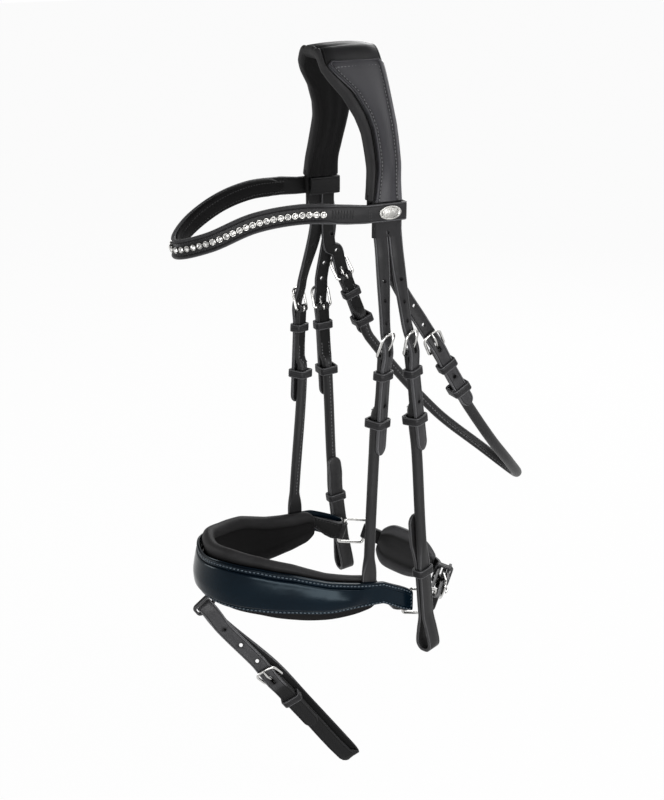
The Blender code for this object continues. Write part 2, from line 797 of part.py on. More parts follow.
def add_headpiece():
    pad = arch_layer(arch_frames(PAD_END_Z, "pad"), -PAD_THICK, 0, 4, 12)
    add_object("headpiece_pad", pad, SOFT)
    band = arch_layer(arch_frames(SLIT_Z, "strap"), TOUCH, TOUCH + HEAD_THICK, 14, 8)
    head = add_object("headpiece_strap", band, BLACK)
    cover = arch_frames(PAD_END_Z, "overlay")
    reach = len(cover) // 2 - OVERLAY_ROW * ARCH_STEPS
    low = 2 * TOUCH + HEAD_THICK
    for side, name in SIDES.items():
        half = cover[-reach - 1 :] if side > 0 else cover[: reach + 1]
        layer = arch_layer(half, low, low + OVERLAY_THICK, 12, 8)
        add_object(f"headpiece_overlay_{name}", layer, SMOOTH)
        holes = []
        for kind, y, frame in (
            ("front", FRONT_BILLET_Y, hanger_seat(side)),
            ("rear", REAR_BILLET_Y, cheek_seat(side)),
        ):
            run = billet_run(side, y, frame)
            label = f"{kind} billet {name}"
            combine(head, add_cutter(label, strap(run), None), "UNION")
            holes.append(prong_hole(f"{label} prong hole", frame))
            holes.append(billet_holes(f"{label} holes", run, frame))
        for hole in holes:
            combine(head, hole, "DIFFERENCE")


def add_throat_billet(side, name):
    frame = throat_seat(side)
    y = REAR_BILLET_Y - BILLET_GAP
    run = []
    for out, drift, z, steps in (
        (0, 0, PAD_END_Z - THROAT_ROOT, 1),
        (0, 0, SLIT_Z - THROAT_ROOT, 2),
        (THROAT_CLEAR, BILLET_DRIFT, SLIT_Z - THROAT_STRAIGHT, 3),
    ):
        place = (side * (THROAT_MID + out), y + drift, z)
        run.append(Station(place, -Y_AXIS * side, STRAP_WIDTH, STRAP_THICK, steps=steps))
    run += billet_stations(frame, STRAP_WIDTH, THROAT_TAIL)
    billet = add_object(f"throat_billet_{name}", strap(run), BLACK)
    combine(billet, prong_hole(f"throat billet {name} prong hole", frame), "DIFFERENCE")
    combine(billet, billet_holes(f"throat billet {name} holes", run, frame, THROAT_TAIL), "DIFFERENCE")


# Browband


def brow_loop_line(side):
    """Fold of the browband round the headpiece, from its sewn end inside to the outer face."""
    inner = THROAT_MID - STRAP_THICK / 2 - PLAY - STRAP_THICK / 2
    outer = HEAD_MID + HEAD_THICK / 2 + PLAY + STRAP_THICK / 2
    rear = BROW_REAR + PLAY + STRAP_THICK / 2
    line = [Vector((inner, BROW_FRONT - BROW_LOOP_SEWN, 0)), Vector((inner, BROW_FRONT + BROW_LOOP_LAP, 0))]
    for x, way in ((inner, 1), (outer, -1)):
        turns = [math.pi / 2 * k / 3 for k in range(4)]
        for angle in turns if way > 0 else turns[::-1]:
            across_fold = way * BROW_FOLD_RADIUS * (1 - math.cos(angle))
            line.append(Vector((x + across_fold, rear - BROW_FOLD_RADIUS * (1 - math.sin(angle)), 0)))
    line.append(Vector((outer, BROW_FRONT + BROW_LOOP_LAP, 0)))
    line.append(Vector((outer, BROW_FRONT - BROW_LOOP_LEAD, 0)))
    return [Vector((side * p.x, p.y, BROW_LOOP_Z)) for p in line]


def brow_front_line(steps):
    half = [Vector(row) for row in BROW_LINE]
    far = [Vector((-p.x, p.y, p.z)) for p in half[:-1]]
    return smooth_line(half + far[::-1], [steps] * (2 * len(far)))


def brow_offset(line, distance):
    """The front line moved out of the band's face by distance."""
    moved = []
    for point, turn in zip(line, tangents(line)):
        out = Vector((-turn.y, turn.x, 0)).normalized()
        moved.append(point + out * distance)
    return moved


def add_browband():
    near = brow_loop_line(1)
    far = brow_loop_line(-1)
    front = brow_front_line(BROW_STEPS)
    line = near + front + far[::-1]
    deep = [BROW_LOOP_DEPTH] * len(near) + [BROW_DEPTH] * len(front) + [BROW_LOOP_DEPTH] * len(far)
    rings = []
    for point, turn, depth in zip(line, tangents(line), deep):
        rings.append(ring_at(point, turn, Z_AXIS, section(depth, STRAP_THICK, 10, 8)))
    add_object("browband_strap", loft(rings), BLACK)
    inside = brow_offset(front, -(STRAP_THICK + BROW_LINING_THICK) / 2 - PLAY)
    deep = BROW_DEPTH - 2 * BROW_LINING_MARGIN
    outline = section(deep, BROW_LINING_THICK, 4, 8)
    rings = [ring_at(p, t, Z_AXIS, outline) for p, t in zip(inside, tangents(inside))]
    add_object("browband_lining", loft(rings), SOFT)
    add_crystals()
    add_badge()


def even_points(line, pitch, count):
    """Points a pitch apart along a line, spread about its middle, with the ways there."""
    reach = [0.0]
    for a, b in zip(line, line[1:]):
        reach.append(reach[-1] + (b - a).length)
    found = []
    for k in range(count):
        want = reach[-1] / 2 + pitch * (k - (count - 1) / 2)
        i = max(j for j in range(len(reach) - 1) if reach[j] <= want)
        share = (want - reach[i]) / (reach[i + 1] - reach[i])
        found.append((line[i].lerp(line[i + 1], share), (line[i + 1] - line[i]).normalized()))
    return found


def add_crystals():
    """Row of round stones in cups that touch, as one chain."""
    lift = STRAP_THICK / 2 + PLAY + TOUCH + STONE_HEIGHT / 2
    line = brow_offset(brow_front_line(BROW_STEPS), lift)
    rings = []
    for point, turn in even_points(line, STONE_PITCH, STONE_COUNT):
        for share, size in ((-0.5, 0.45), (-0.27, 1.0), (0.27, 1.0)):
            outline = section(STONE_WIDTH * size, STONE_HEIGHT * size, 2.6, 6)
            rings.append(ring_at(point + turn * STONE_PITCH * share, turn, Z_AXIS, outline))
    end = section(STONE_WIDTH * 0.45, STONE_HEIGHT * 0.45, 2.6, 6)
    rings.append(ring_at(point + turn * STONE_PITCH / 2, turn, Z_AXIS, end))
    add_object("browband_crystals", loft(rings), CRYSTAL)


def add_badge():
    """Plain oval plate on the near end of the browband."""
    face = HEAD_MID + HEAD_THICK / 2 + PLAY + STRAP_THICK + TOUCH
    middle = Vector((face, (BROW_FRONT + BROW_REAR) / 2, BROW_LOOP_Z))
    rings = []
    for lift, size in ((0, 1.0), (0.5, 1.0), (0.8, 0.92), (1.0, 0.72)):
        outline = section(BADGE_LENGTH * size, BADGE_HEIGHT * size, 2, 16)
        rings.append([middle + Vector((lift * BADGE_THICK, y, z)) for y, z in outline])
    add_object("browband_badge", loft(rings), NICKEL)


# Cheekpieces and hangers


def add_fittings(kind, frame, name, runner_at=RUNNER_AT):
    add_buckle(f"{kind}_buckle_{name}", frame)
    add_prong(f"{kind}_prong_{name}", frame)
    fixed_keeper(f"{kind}_keeper_{name}", frame)
    loose_runner(f"{kind}_runner_{name}", frame, runner_at)


def add_hanger(side, name):
    frame = hanger_seat(side)
    width = chape_width(STRAP_WIDTH)
    foot = Vector(HANGER_FOOT[side])
    above = foot + Z_AXIS * FOOT_RISE
    high = roll_start(frame, 1)
    run = chape_stations(frame, width, CHAPE_LENGTH, steps=2) + [high]
    run.append(roll_station(frame @ Vector((0, RUNNER_AT + ROLL_REACH, ROLL_LIFT)), across(frame), 4))
    run.append(roll_station(above, Y_AXIS * -side, 3))
    run.append(Station(foot, Y_AXIS * -side, FOOT_WIDTH, NOSE_STRAP_THICK))
    run.append(Station(foot - Z_AXIS * FOOT_DEPTH, Y_AXIS * -side, FOOT_WIDTH, NOSE_STRAP_THICK))
    hanger = add_object(f"noseband_hanger_{name}", strap(run, ROLL_SIDES), BLACK)
    fold_eye(hanger, frame, width, EYE_BORE, CHAPE_LAYER, True)
    add_fittings("hanger", frame, name)


def bit_frame(side):
    """Frame of the bit end: y down to the bottom of the loop, z outwards, at the end of the roll."""
    out = X_AXIS * side * math.cos(BIT_TWIST[side]) + Y_AXIS * math.sin(BIT_TWIST[side])
    return seat(CHEEK_END[side], between(CHEEK_END[side], BIT_BOTTOM[side]), out)


LEG_GAP = STUD_PLATE + 2 * TOUCH


def bit_loop_stations(side):
    """Outer leg down, round the loop and up the inner leg to its tip."""
    frame = bit_frame(side)
    length = between(CHEEK_END[side], BIT_BOTTOM[side]).length
    inner = -STRAP_THICK - LEG_GAP
    beside = 0.5 * ROLL_LIFT - 0.5 * ROLL_DIAMETER - 0.5 * STRAP_THICK - PLAY
    middle = inner / 2
    swell = (BIT_LOOP_GAP + STRAP_THICK) / 2
    low = length - STRAP_THICK / 2
    neck = low - BIT_LOOP_LENGTH
    round_low = low - 0.55 * swell
    stops = (
        (0.30 * neck, 0, 1),
        (neck - BIT_LEG_LAP, 0, 1),
        (neck - BIT_LEG_LAP / 3, 0, 2),
        (neck + 0.35 * BIT_LOOP_LENGTH, middle + 0.75 * swell, 2),
        (round_low - 0.25 * swell, middle + swell, 2),
        (low - 0.10 * swell, middle + 0.55 * swell, 1),
        (low, middle, 1),
        (low - 0.10 * swell, middle - 0.55 * swell, 2),
        (round_low - 0.25 * swell, middle - swell, 2),
        (neck + 0.35 * BIT_LOOP_LENGTH, middle - 0.75 * swell, 2),
        (neck - BIT_LEG_LAP / 3, inner, 1),
        (neck - BIT_LEG_LAP, inner, 1),
        (0.22 * neck, inner, 1),
        (0.04 * neck, 0.5 * (inner + beside), 1),
        (-0.5 * ROLL_DIAMETER, beside, 1),
        (-BIT_TAIL_REACH[side], beside, 1),
    )
    side_way = across(frame)
    stations = []
    for u, n, steps in stops:
        place = frame @ Vector((0, u, n))
        stations.append(Station(place, side_way, BIT_WIDTH, STRAP_THICK, steps=steps))
    return stations + tip_stations(stations[-1].at, -frame.col[1].xyz, side_way, BIT_WIDTH, STRAP_THICK)


def stud_at(side):
    """Distance down the bit end where the hook stud sits."""
    length = between(CHEEK_END[side], BIT_BOTTOM[side]).length
    return 0.62 * (length - BIT_LOOP_LENGTH)


def bit_keeper_at(side):
    length = between(CHEEK_END[side], BIT_BOTTOM[side]).length
    return 0.30 * (length - BIT_LOOP_LENGTH)


def add_cheek(side, name):
    frame = cheek_seat(side)
    width = chape_width(STRAP_WIDTH)
    run = chape_stations(frame, width, CHAPE_LENGTH, steps=2) + [roll_start(frame, 1)]
    run.append(roll_station(frame @ Vector((0, RUNNER_AT + ROLL_REACH, ROLL_LIFT)), across(frame), 4))
    low = bit_frame(side)
    run.append(roll_station(low @ Vector((0, -BIT_LEG_LAP, ROLL_LIFT / 2)), across(low), 2))
    run += bit_loop_stations(side)
    cheek = add_object(f"bit_cheek_{name}", strap(run, ROLL_SIDES), BLACK)
    fold_eye(cheek, frame, width, EYE_BORE, CHAPE_LAYER, True)
    add_fittings("cheek", frame, name)
    add_stud(side, name, cheek)
    top = STRAP_THICK / 2 + TOUCH
    bottom = -1.5 * STRAP_THICK - LEG_GAP - TOUCH
    at = bit_keeper_at(side)
    add_keeper(f"bit_keeper_{name}", low, at, bottom, top, BIT_WIDTH + 2 * TOUCH, BLACK)


def add_stud(side, name, cheek):
    """Hook stud: a plate between the legs, a stem through the inner leg and a hook turned down."""
    frame = bit_frame(side) @ Matrix.Translation((0, stud_at(side), 0))
    face = -STRAP_THICK / 2 - TOUCH
    back = face - STUD_PLATE
    far = -1.5 * STRAP_THICK - LEG_GAP - TOUCH - STUD_WIRE / 2
    outline = rounded_box(0.36 * BIT_WIDTH, 0.36 * BIT_WIDTH, (0.25 * BIT_WIDTH,) * 4, 2)
    stud = add_object(f"bit_stud_{name}", prism(outline, back, face, 2), NICKEL, frame)
    points = [(0, 0, back + 0.5 * STUD_PLATE), (0, 0, far + 0.5 * STUD_WIRE), (0, 0.35 * STUD_WIRE, far),
              (0, STUD_HOOK, far - 0.4 * STUD_WIRE)]
    line = smooth_line(points, [1, 2, 2])
    wire = section(STUD_WIRE, STUD_WIRE, 2, 8)
    hook = loft([ring_at(p, t, X_AXIS, wire) for p, t in zip(line, tangents(line))])
    combine(stud, add_cutter(f"bit stud {name} hook", hook, frame.copy()), "UNION")
    gap = STUD_WIRE / 2 + PLAY
    hole = prism(stadium(-gap - PLAY, gap + PLAY, gap), far, back - 0.5 * TOUCH, 2)
    combine(cheek, add_cutter(f"bit cheek {name} stud hole", hole, frame.copy()), "DIFFERENCE")


# Throatlash


def add_throatlash():
    width = chape_width(STRAP_WIDTH)
    near = throat_seat(1)
    far = throat_seat(-1)
    run = chape_stations(near, width, THROAT_CHAPE, steps=2) + [roll_start(near, 1, THROAT_CHAPE)]
    below = Vector((0, THROAT_RUNNER_AT + THROAT_ROLL_REACH, ROLL_LIFT))
    run.append(roll_station(near @ below, across(near), 3))
    run += [roll_station(point, Z_AXIS, 2) for point in THROAT_LOOP]
    end = [roll_station(far @ below, -across(far), 1)]
    end.append(roll_start(far, 2, THROAT_CHAPE))
    end += chape_stations(far, width, THROAT_CHAPE)[::-1]
    for station in end[1:]:
        station.side = -across(far)
    throat = add_object("throatlash", strap(run + end, ROLL_SIDES), BLACK)
    for side, name in SIDES.items():
        frame = throat_seat(side)
        fold_eye(throat, frame, width, EYE_BORE, CHAPE_LAYER, True)
        add_fittings("throat", frame, name, THROAT_RUNNER_AT)
        add_throat_billet(side, name)


# Noseband


def nose_rows():
    half = [list(row[:-1]) for row in NOSE]
    far = [[-x, y, *(z + lift for z in edges)] for x, y, *edges, lift in NOSE[1:]]
    return far[::-1] + half


def nose_wall(rows, steps):
    """Smooth rows of the noseband with the way out of its face at each."""
    ways = smooth_line([Vector((r[0], r[1], 0)) for r in rows], [steps] * (len(rows) - 1))
    panel = smooth_line([Vector((r[2], r[3], 0)) for r in rows], [steps] * (len(rows) - 1))
    lining = smooth_line([Vector((r[4], r[5], 0)) for r in rows], [steps] * (len(rows) - 1))
    found = []
    for way, turn, top, pad in zip(ways, tangents(ways), panel, lining):
        out = Vector((turn.y, -turn.x, 0)).normalized()
        found.append((way, out, top, pad))
    return found


def add_noseband():
    wall = nose_wall(nose_rows(), NOSE_STEPS)
    inner = NOSE_STRAP_THICK / 2 + TOUCH
    panel = []
    lining = []
    for way, out, edge, pad in wall:
        tall = edge.x - edge.y
        ring = []
        for share, lift in PANEL_SECTION:
            dome = NOSE_PANEL_CROWN * (1 - (2 * share - 1) ** 2) if 0.15 < share < 0.85 else 0
            thick = NOSE_PANEL_EDGE * (lift if lift else (1 if 0 < share < 1 else 0)) + dome
            ring.append(way + out * (inner + thick) + Z_AXIS * (edge.x - share * tall))
        panel.append(ring)
        outline = section(pad.x - pad.y, NOSE_LINING_THICK, 3.4, 12)
        middle = way - out * (inner + TOUCH + NOSE_LINING_THICK / 2) + Z_AXIS * (pad.x + pad.y) / 2
        lining.append([middle + Z_AXIS * x + out * y for x, y in outline])
    add_object("noseband_panel", loft(panel), PATENT)
    add_object("noseband_lining", loft(lining[NOSE_STEPS:-NOSE_STEPS]), SOFT)
    add_noseband_strap(wall)
    for side, name in SIDES.items():
        add_ring(side, name)


def ring_seat(side):
    """Frame of a ring's front bar: x along the bar, y forward along the tab, z outwards."""
    frame = chin_frame()
    return seat(frame @ Vector((side * RING_HALF_SPAN, 0, 0)), -frame.col[1].xyz, frame.col[0].xyz * side)


RING_BORE = RING_WIRE / 2 + TOUCH


def add_noseband_strap(wall):
    """Leather core between panel and lining, folded round a ring at each end."""
    stations = []
    for way, out, edge, pad in wall[NOSE_STEPS:-NOSE_STEPS]:
        tall = edge.x - edge.y - NOSE_FLANGE
        middle = way + Z_AXIS * (edge.x + edge.y) / 2
        stations.append(Station(middle, Z_AXIS, min(tall, NOSE_TAB_HEIGHT), NOSE_STRAP_THICK - TOUCH))
    ends = []
    for side in (-1, 1):
        frame = ring_seat(side)
        stop = RING_BORE + 0.5 * CHAPE_LAYER
        up = chin_frame().col[2].xyz
        end = []
        for u in (NOSE_TAB_REACH, stop):
            end.append(Station(frame @ Vector((0, u, 0)), up, NOSE_TAB_HEIGHT, 2 * CHAPE_LAYER))
        ends.append(end)
    core = add_object("noseband_strap", strap(ends[0][::-1] + stations + ends[1]), BLACK)
    for side in (-1, 1):
        fold_eye(core, ring_seat(side), NOSE_TAB_HEIGHT, RING_BORE, CHAPE_LAYER, False)


def add_ring(side, name):
    """Rounded oblong ring, hung by its front bar in the noseband and holding the chin strap by its rear."""
    frame = ring_seat(side)
    half = RING_LENGTH / 2
    outline = rounded_box(RING_HEIGHT / 2, half, (0.1 * RING_HEIGHT,) * 4, 3)
    line = [Vector((x, y - half, 0)) for x, y in outline]
    add_object(f"noseband_ring_{name}", wire_loop(line, RING_WIRE), NICKEL, frame)


def chin_buckle_seat():
    """Seat of the chin buckle, where the strap has come back from the near ring."""
    along = Vector((-math.cos(CHIN_ANGLE), math.sin(CHIN_ANGLE), 0))
    out = Vector((math.sin(CHIN_ANGLE), math.cos(CHIN_ANGLE), 0))
    bar = Vector((RING_HALF_SPAN, RING_LENGTH, 0))
    turn = chin_frame().to_3x3()
    place = chin_frame() @ (bar + along * CHIN_REACH - out * near_ring_lift())
    return seat(place, turn @ along, turn @ out)


def chin_under():
    """Height of the chin strap's inner run under the buckle's bar."""
    return -EYE_RADIUS - TOUCH - STRAP_THICK / 2


def near_ring_lift():
    """Height of the near ring's rear bar over the plane of the chin buckle's bar."""
    return chin_under() + RING_WIRE / 2 + PLAY + TOUCH + STRAP_THICK / 2


def add_chin():
    frame = chin_frame()
    bar = chin_buckle_seat()
    up = frame.col[2].xyz
    far_bar = Vector((-RING_HALF_SPAN, RING_LENGTH, 0))
    start = Vector((math.cos(CHIN_ANGLE), math.sin(CHIN_ANGLE), 0))
    bore = RING_BORE + 0.5 * CHAPE_LAYER
    wrap = RING_WIRE / 2 + PLAY + TOUCH + STRAP_THICK / 2
    run = []
    for point, thick, steps in (
        (far_bar + start * bore, 2 * CHAPE_LAYER, 1),
        (far_bar + start * CHIN_TAB, 2 * CHAPE_LAYER, 2),
        (Vector(CHIN_LINE[1]), STRAP_THICK, 2),
        (Vector(CHIN_LINE[2]), STRAP_THICK, 2),
        (Vector(CHIN_LINE[3]), STRAP_THICK, 3),
    ):
        run.append(Station(frame @ point, up, CHIN_WIDTH, thick, steps=steps))
    inner = chin_under()
    for u in (CHIN_CHAPE - CHAPE_LAYER, 0, -CHIN_REACH + wrap):
        run.append(Station(bar @ Vector((0, u, inner)), up, CHIN_WIDTH, STRAP_THICK, steps=1))
    ring_lift = near_ring_lift()
    for k in range(1, 6):
        angle = math.pi * (k / 6) + math.pi / 2
        place = Vector((0, -CHIN_REACH + wrap * math.cos(angle), ring_lift - wrap * math.sin(angle)))
        run.append(Station(bar @ place, up, CHIN_WIDTH, STRAP_THICK))
    back = billet_stations(bar, CHIN_WIDTH, CHIN_TAIL, lead=False)
    for station in back:
        station.side = up
    run.append(Station(bar @ Vector((0, -CHIN_REACH + wrap, ring_lift + wrap)), up, CHIN_WIDTH, STRAP_THICK))
    chin = add_object("chin_strap", strap(run + back), BLACK, None)
    far = seat(frame @ far_bar, frame.to_3x3() @ start, -frame.col[0].xyz)
    fold_eye(chin, far, CHIN_WIDTH, RING_BORE, CHAPE_LAYER, False)
    combine(chin, prong_hole("chin strap prong hole", bar), "DIFFERENCE")
    add_chin_fittings(bar)
    add_chin_pad(frame)


def add_chin_fittings(bar):
    width = chape_width(CHIN_WIDTH)
    tab = add_object("chin_buckle_tab", strap(chape_stations(bar, width, CHIN_CHAPE)), BLACK)
    fold_eye(tab, bar, width, EYE_BORE, CHAPE_LAYER, True)
    add_buckle("chin_buckle", bar, CHIN_WIDTH)
    add_prong("chin_prong", bar)
    low = chin_under() - STRAP_THICK / 2 - PLAY
    top = TAIL_LIFT + STRAP_THICK / 2 + PLAY
    add_keeper("chin_keeper", bar, 0.75 * CHIN_CHAPE, low, top, CHIN_WIDTH + 2 * PLAY, BLACK)


def add_chin_pad(frame):
    """Crowned pad on the inside of the chin strap."""
    line = smooth_line(CHIN_LINE, [2, 3, 2])
    lift = (STRAP_THICK + CHIN_PAD_THICK) / 2 + 2 * TOUCH
    rings = []
    for i, (point, turn) in enumerate(zip(line, tangents(line))):
        share = 2 * i / (len(line) - 1) - 1
        swell = max(0.0, 1 - abs(share) ** 3) * 0.55 + 0.45
        out = Vector((-turn.y, turn.x, 0))
        outline = section(CHIN_PAD_HEIGHT * swell, CHIN_PAD_THICK * swell, 3, 12)
        middle = point - out * (lift - 0.5 * CHIN_PAD_THICK * (1 - swell))
        rings.append([frame @ (middle + Z_AXIS * x - out * y) for x, y in outline])
    add_object("chin_pad", loft(rings), SOFT)


# Flash


def flash_stops():
    """Stops of the flash strap from its chape down, up and over the loop: u, lift, thickness, steps."""
    half = FLASH_LOOP_WIDTH / 2 + 4 * PLAY + STRAP_THICK / 2
    under = chin_under() - PLAY
    low = FLASH_LENGTH - STRAP_THICK / 2
    chape_end = FLASH_BUCKLE_AT + CHAPE_LENGTH
    doubled = 2 * CHAPE_LAYER
    return (
        (FLASH_BUCKLE_AT + EYE_BORE + 0.5 * CHAPE_LAYER, 0, doubled, 1),
        (FLASH_BUCKLE_AT + FLASH_KEEPER_AT, 0, doubled, 1),
        (chape_end, 0, doubled, 1),
        (chape_end + FLASH_BEND, 0, STRAP_THICK, 1),
        (low - FLASH_BEND, 0, STRAP_THICK, 1),
        (low - 0.5 * STRAP_THICK, 0.30 * under, STRAP_THICK, 1),
        (low - 0.5 * STRAP_THICK, 0.80 * under, STRAP_THICK, 1),
        (low - FLASH_BEND, under - PLAY, STRAP_THICK, 1),
        (chape_end, under - 2 * PLAY, STRAP_THICK, 1),
        (FLASH_BUCKLE_AT - FLASH_BEND, under - 2 * PLAY, STRAP_THICK, 2),
        (FLASH_FREE, -half, STRAP_THICK, 1),
        (FLASH_BEND, -half, STRAP_THICK, 1),
        (0.5 * STRAP_THICK, FLASH_ROUND - half, STRAP_THICK, 1),
        (0, -0.35 * half, STRAP_THICK, 1),
        (0, 0.35 * half, STRAP_THICK, 1),
        (0.5 * STRAP_THICK, half - FLASH_ROUND, STRAP_THICK, 1),
        (FLASH_BEND, half, STRAP_THICK, 1),
        (FLASH_FREE, half, STRAP_THICK, 3),
    )


def add_flash():
    frame = flash_frame()
    hang = flash_hang()
    bar = hang @ Matrix.Translation((0, FLASH_BUCKLE_AT, 0))
    pivot = frame.translation.copy()
    run = []
    for u, lift, thick, steps in flash_stops():
        place = hang if u > FLASH_BEND else frame
        skew = -FLASH_SKEW if lift < 0 and u > FLASH_FREE else 0
        run.append(Station(place @ Vector((skew, u, lift)), across(place), FLASH_WIDTH, thick, steps=steps))
    free = run[-1].at
    run += billet_stations(bar, FLASH_WIDTH, FLASH_TAIL)
    lead = bar @ Vector((0, -BILLET_LEAD, 0))
    places = []
    span = FLASH_BUCKLE_AT - BILLET_LEAD - FLASH_FREE
    for k in range(FLASH_HOLES):
        below = FLASH_HOLE_AT + k * FLASH_HOLE_PITCH - FLASH_FREE
        places.append(free.lerp(lead, below / span))
    for station in run:
        station.at -= pivot
    flash = add_object("flash_strap", strap(run), BLACK, Matrix.Translation(pivot))
    fold_eye(flash, bar, FLASH_WIDTH, EYE_BORE, CHAPE_LAYER, True)
    combine(flash, prong_hole("flash strap prong hole", bar), "DIFFERENCE")
    combine(flash, hole_cutters("flash strap holes", places, hang.col[2].xyz), "DIFFERENCE")
    add_buckle("flash_buckle", bar, FLASH_WIDTH)
    add_prong("flash_prong", bar)
    fixed_keeper("flash_keeper", bar, FLASH_KEEPER_AT, FLASH_WIDTH)
    add_flash_loop(frame)


def add_flash_loop(frame):
    """Leather loop under the front of the noseband, wide enough for the flash strap to swing in."""
    half_open = FLASH_LOOP_OPEN / 2
    outline = rounded_box(FLASH_WIDTH / 2 + 2 * PLAY, half_open, (0.45 * half_open,) * 4, 2)
    made = band_loop(outline, FLASH_LOOP_WALL, -FLASH_LOOP_WIDTH / 2, FLASH_LOOP_WIDTH / 2, 2)
    loop = add_object("flash_loop", made, BLACK, frame)
    front = NOSE[0]
    wall = -(FLASH_WIDTH / 2 + 2 * PLAY + FLASH_LOOP_WALL / 2)
    tab = (FLASH_LOOP_WIDTH - 2 * PLAY, NOSE_STRAP_THICK - 2 * TOUCH)
    high = Station((0, front[1], front[3] + FLASH_TAB_REACH), X_AXIS, *tab)
    low = Station(frame @ Vector((wall, 0, 0)), X_AXIS, *tab)
    combine(loop, add_cutter("flash loop tab", strap([high, low])), "UNION")


clear_scene()
BLACK = make_material("black bridle leather", (0.012, 0.012, 0.013), 0.5, 0.0)
SMOOTH = make_material("smooth black leather", (0.030, 0.031, 0.034), 0.42, 0.0)
SOFT = make_material("soft black lining", (0.010, 0.010, 0.011), 0.75, 0.0)
PATENT = make_material("navy patent leather", (0.006, 0.020, 0.040), 0.12, 0.0)
NICKEL = make_material("bright steel", (0.75, 0.75, 0.76), 0.18, 1.0)
CRYSTAL = make_material("clear crystal", (0.85, 0.86, 0.88), 0.08, 0.3)

add_headpiece()
add_browband()
for side_sign, side_name in SIDES.items():
    add_hanger(side_sign, side_name)
    add_cheek(side_sign, side_name)
add_throatlash()
add_noseband()
add_chin()
add_flash()
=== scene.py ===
import math
import random

import bmesh
import bpy
from mathutils import Matrix, Vector


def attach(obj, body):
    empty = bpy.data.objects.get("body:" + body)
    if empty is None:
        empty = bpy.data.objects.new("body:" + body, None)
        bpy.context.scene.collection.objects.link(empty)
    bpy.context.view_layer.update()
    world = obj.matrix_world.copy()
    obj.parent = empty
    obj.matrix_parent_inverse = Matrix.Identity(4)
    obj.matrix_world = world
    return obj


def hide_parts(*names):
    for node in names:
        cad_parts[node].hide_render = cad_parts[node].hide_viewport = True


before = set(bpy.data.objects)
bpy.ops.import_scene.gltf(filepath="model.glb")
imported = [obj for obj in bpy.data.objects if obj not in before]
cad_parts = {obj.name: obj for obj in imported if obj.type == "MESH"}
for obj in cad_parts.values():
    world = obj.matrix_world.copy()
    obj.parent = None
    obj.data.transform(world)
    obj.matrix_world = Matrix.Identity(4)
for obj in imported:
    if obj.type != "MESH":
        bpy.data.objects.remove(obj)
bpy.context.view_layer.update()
scene = bpy.context.scene
scene.view_settings.view_transform = "Standard"
xAxis, yAxis, zAxis = Vector((1, 0, 0)), Vector((0, 1, 0)), Vector((0, 0, 1))
sides = {1: "near", -1: "far"}
dice = random.Random(11)
print("frame loaded")


# camera, lamps, floor

studio = {
    "eye": (1.1282, -0.5706, 0.1503), "aim": (0, -0.0056, -0.299), "lens": 67.5,
    "floor": -0.705, "floorSize": 9.0, "floorTone": 0.92, "floorGlow": 0.96,
    # the sky is white at the horizon and darker overhead
    "skyLight": 0.16, "skyTop": 0.30, "skyFrom": 0.30, "skyTo": 0.62,
    "lamps": {
        "bankBox": {"at": (1.74, -0.45, -0.21), "aim": (0.05, -0.06, -0.45), "wide": 2.45, "tall": 0.55,
                    "power": 40},
        "topBox": {"at": (0.95, 0.83, 0.80), "aim": (0.03, 0, -0.10), "wide": 0.8, "tall": 0.8,
                   "power": 10},
        "rimBox": {"at": (-1.0, -1.35, -0.10), "aim": (0, -0.05, -0.4), "wide": 0.6, "tall": 0.7,
                   "power": 9},
        "backBox": {"at": (-1.1, 1.2, 0.6), "aim": (0, 0, -0.3), "wide": 1.1, "tall": 1.1, "power": 20},
    },
}


def aimAt(thing, eye, aim):
    thing.location = Vector(eye)
    thing.rotation_euler = (Vector(aim) - Vector(eye)).to_track_quat("-Z", "Y").to_euler()
    scene.collection.objects.link(thing)


class Wire:  # a socket that takes part in sums
    def __init__(self, finish, socket):
        self.finish = finish
        self.socket = socket

    def maths(self, how, first, second):
        return self.finish.node("ShaderNodeMath", {"operation": how}, {0: first, 1: second})

    def __add__(self, other):
        return self.maths("ADD", self, other)

    def __sub__(self, other):
        return self.maths("SUBTRACT", self, other)

    def __rsub__(self, other):
        return self.maths("SUBTRACT", other, self)

    def __mul__(self, other):
        return self.maths("MULTIPLY", self, other)

    __radd__ = __add__
    __rmul__ = __mul__


class Finish:
    def __init__(self, owner, keep="Principled BSDF"):
        self.tree = owner.node_tree
        self.owner = owner
        self.shader = self.tree.nodes[keep]

    def plug(self, socket, value):
        if isinstance(value, Wire):
            self.tree.links.new(value.socket, socket)
        elif isinstance(value, tuple) and len(value) == 3 and socket.type == "RGBA":
            socket.default_value = (*value, 1)
        else:
            socket.default_value = value

    def node(self, kind, settings, sockets, output=0):
        made = self.tree.nodes.new(kind)
        for name, value in settings.items():
            setattr(made, name, value)
        for name, value in sockets.items():
            self.plug(made.inputs[name], value)
        return Wire(self, made.outputs[output])

    def blendColours(self, share, first, second):
        return self.node("ShaderNodeMix", {"data_type": "RGBA"}, {0: share, 6: first, 7: second}, 2)

    def wear(self, **sockets):
        for name, value in sockets.items():
            self.plug(self.shader.inputs[socketNames.get(name, name)], value)


socketNames = {
    "colour": "Base Color", "roughness": "Roughness", "metallic": "Metallic", "normal": "Normal",
    "specular": "Specular IOR Level", "tint": "Specular Tint", "coat": "Coat Weight",
    "coatRoughness": "Coat Roughness",
}


def newFinish(name):
    made = bpy.data.materials.new(name)
    made.use_nodes = True
    return Finish(made)


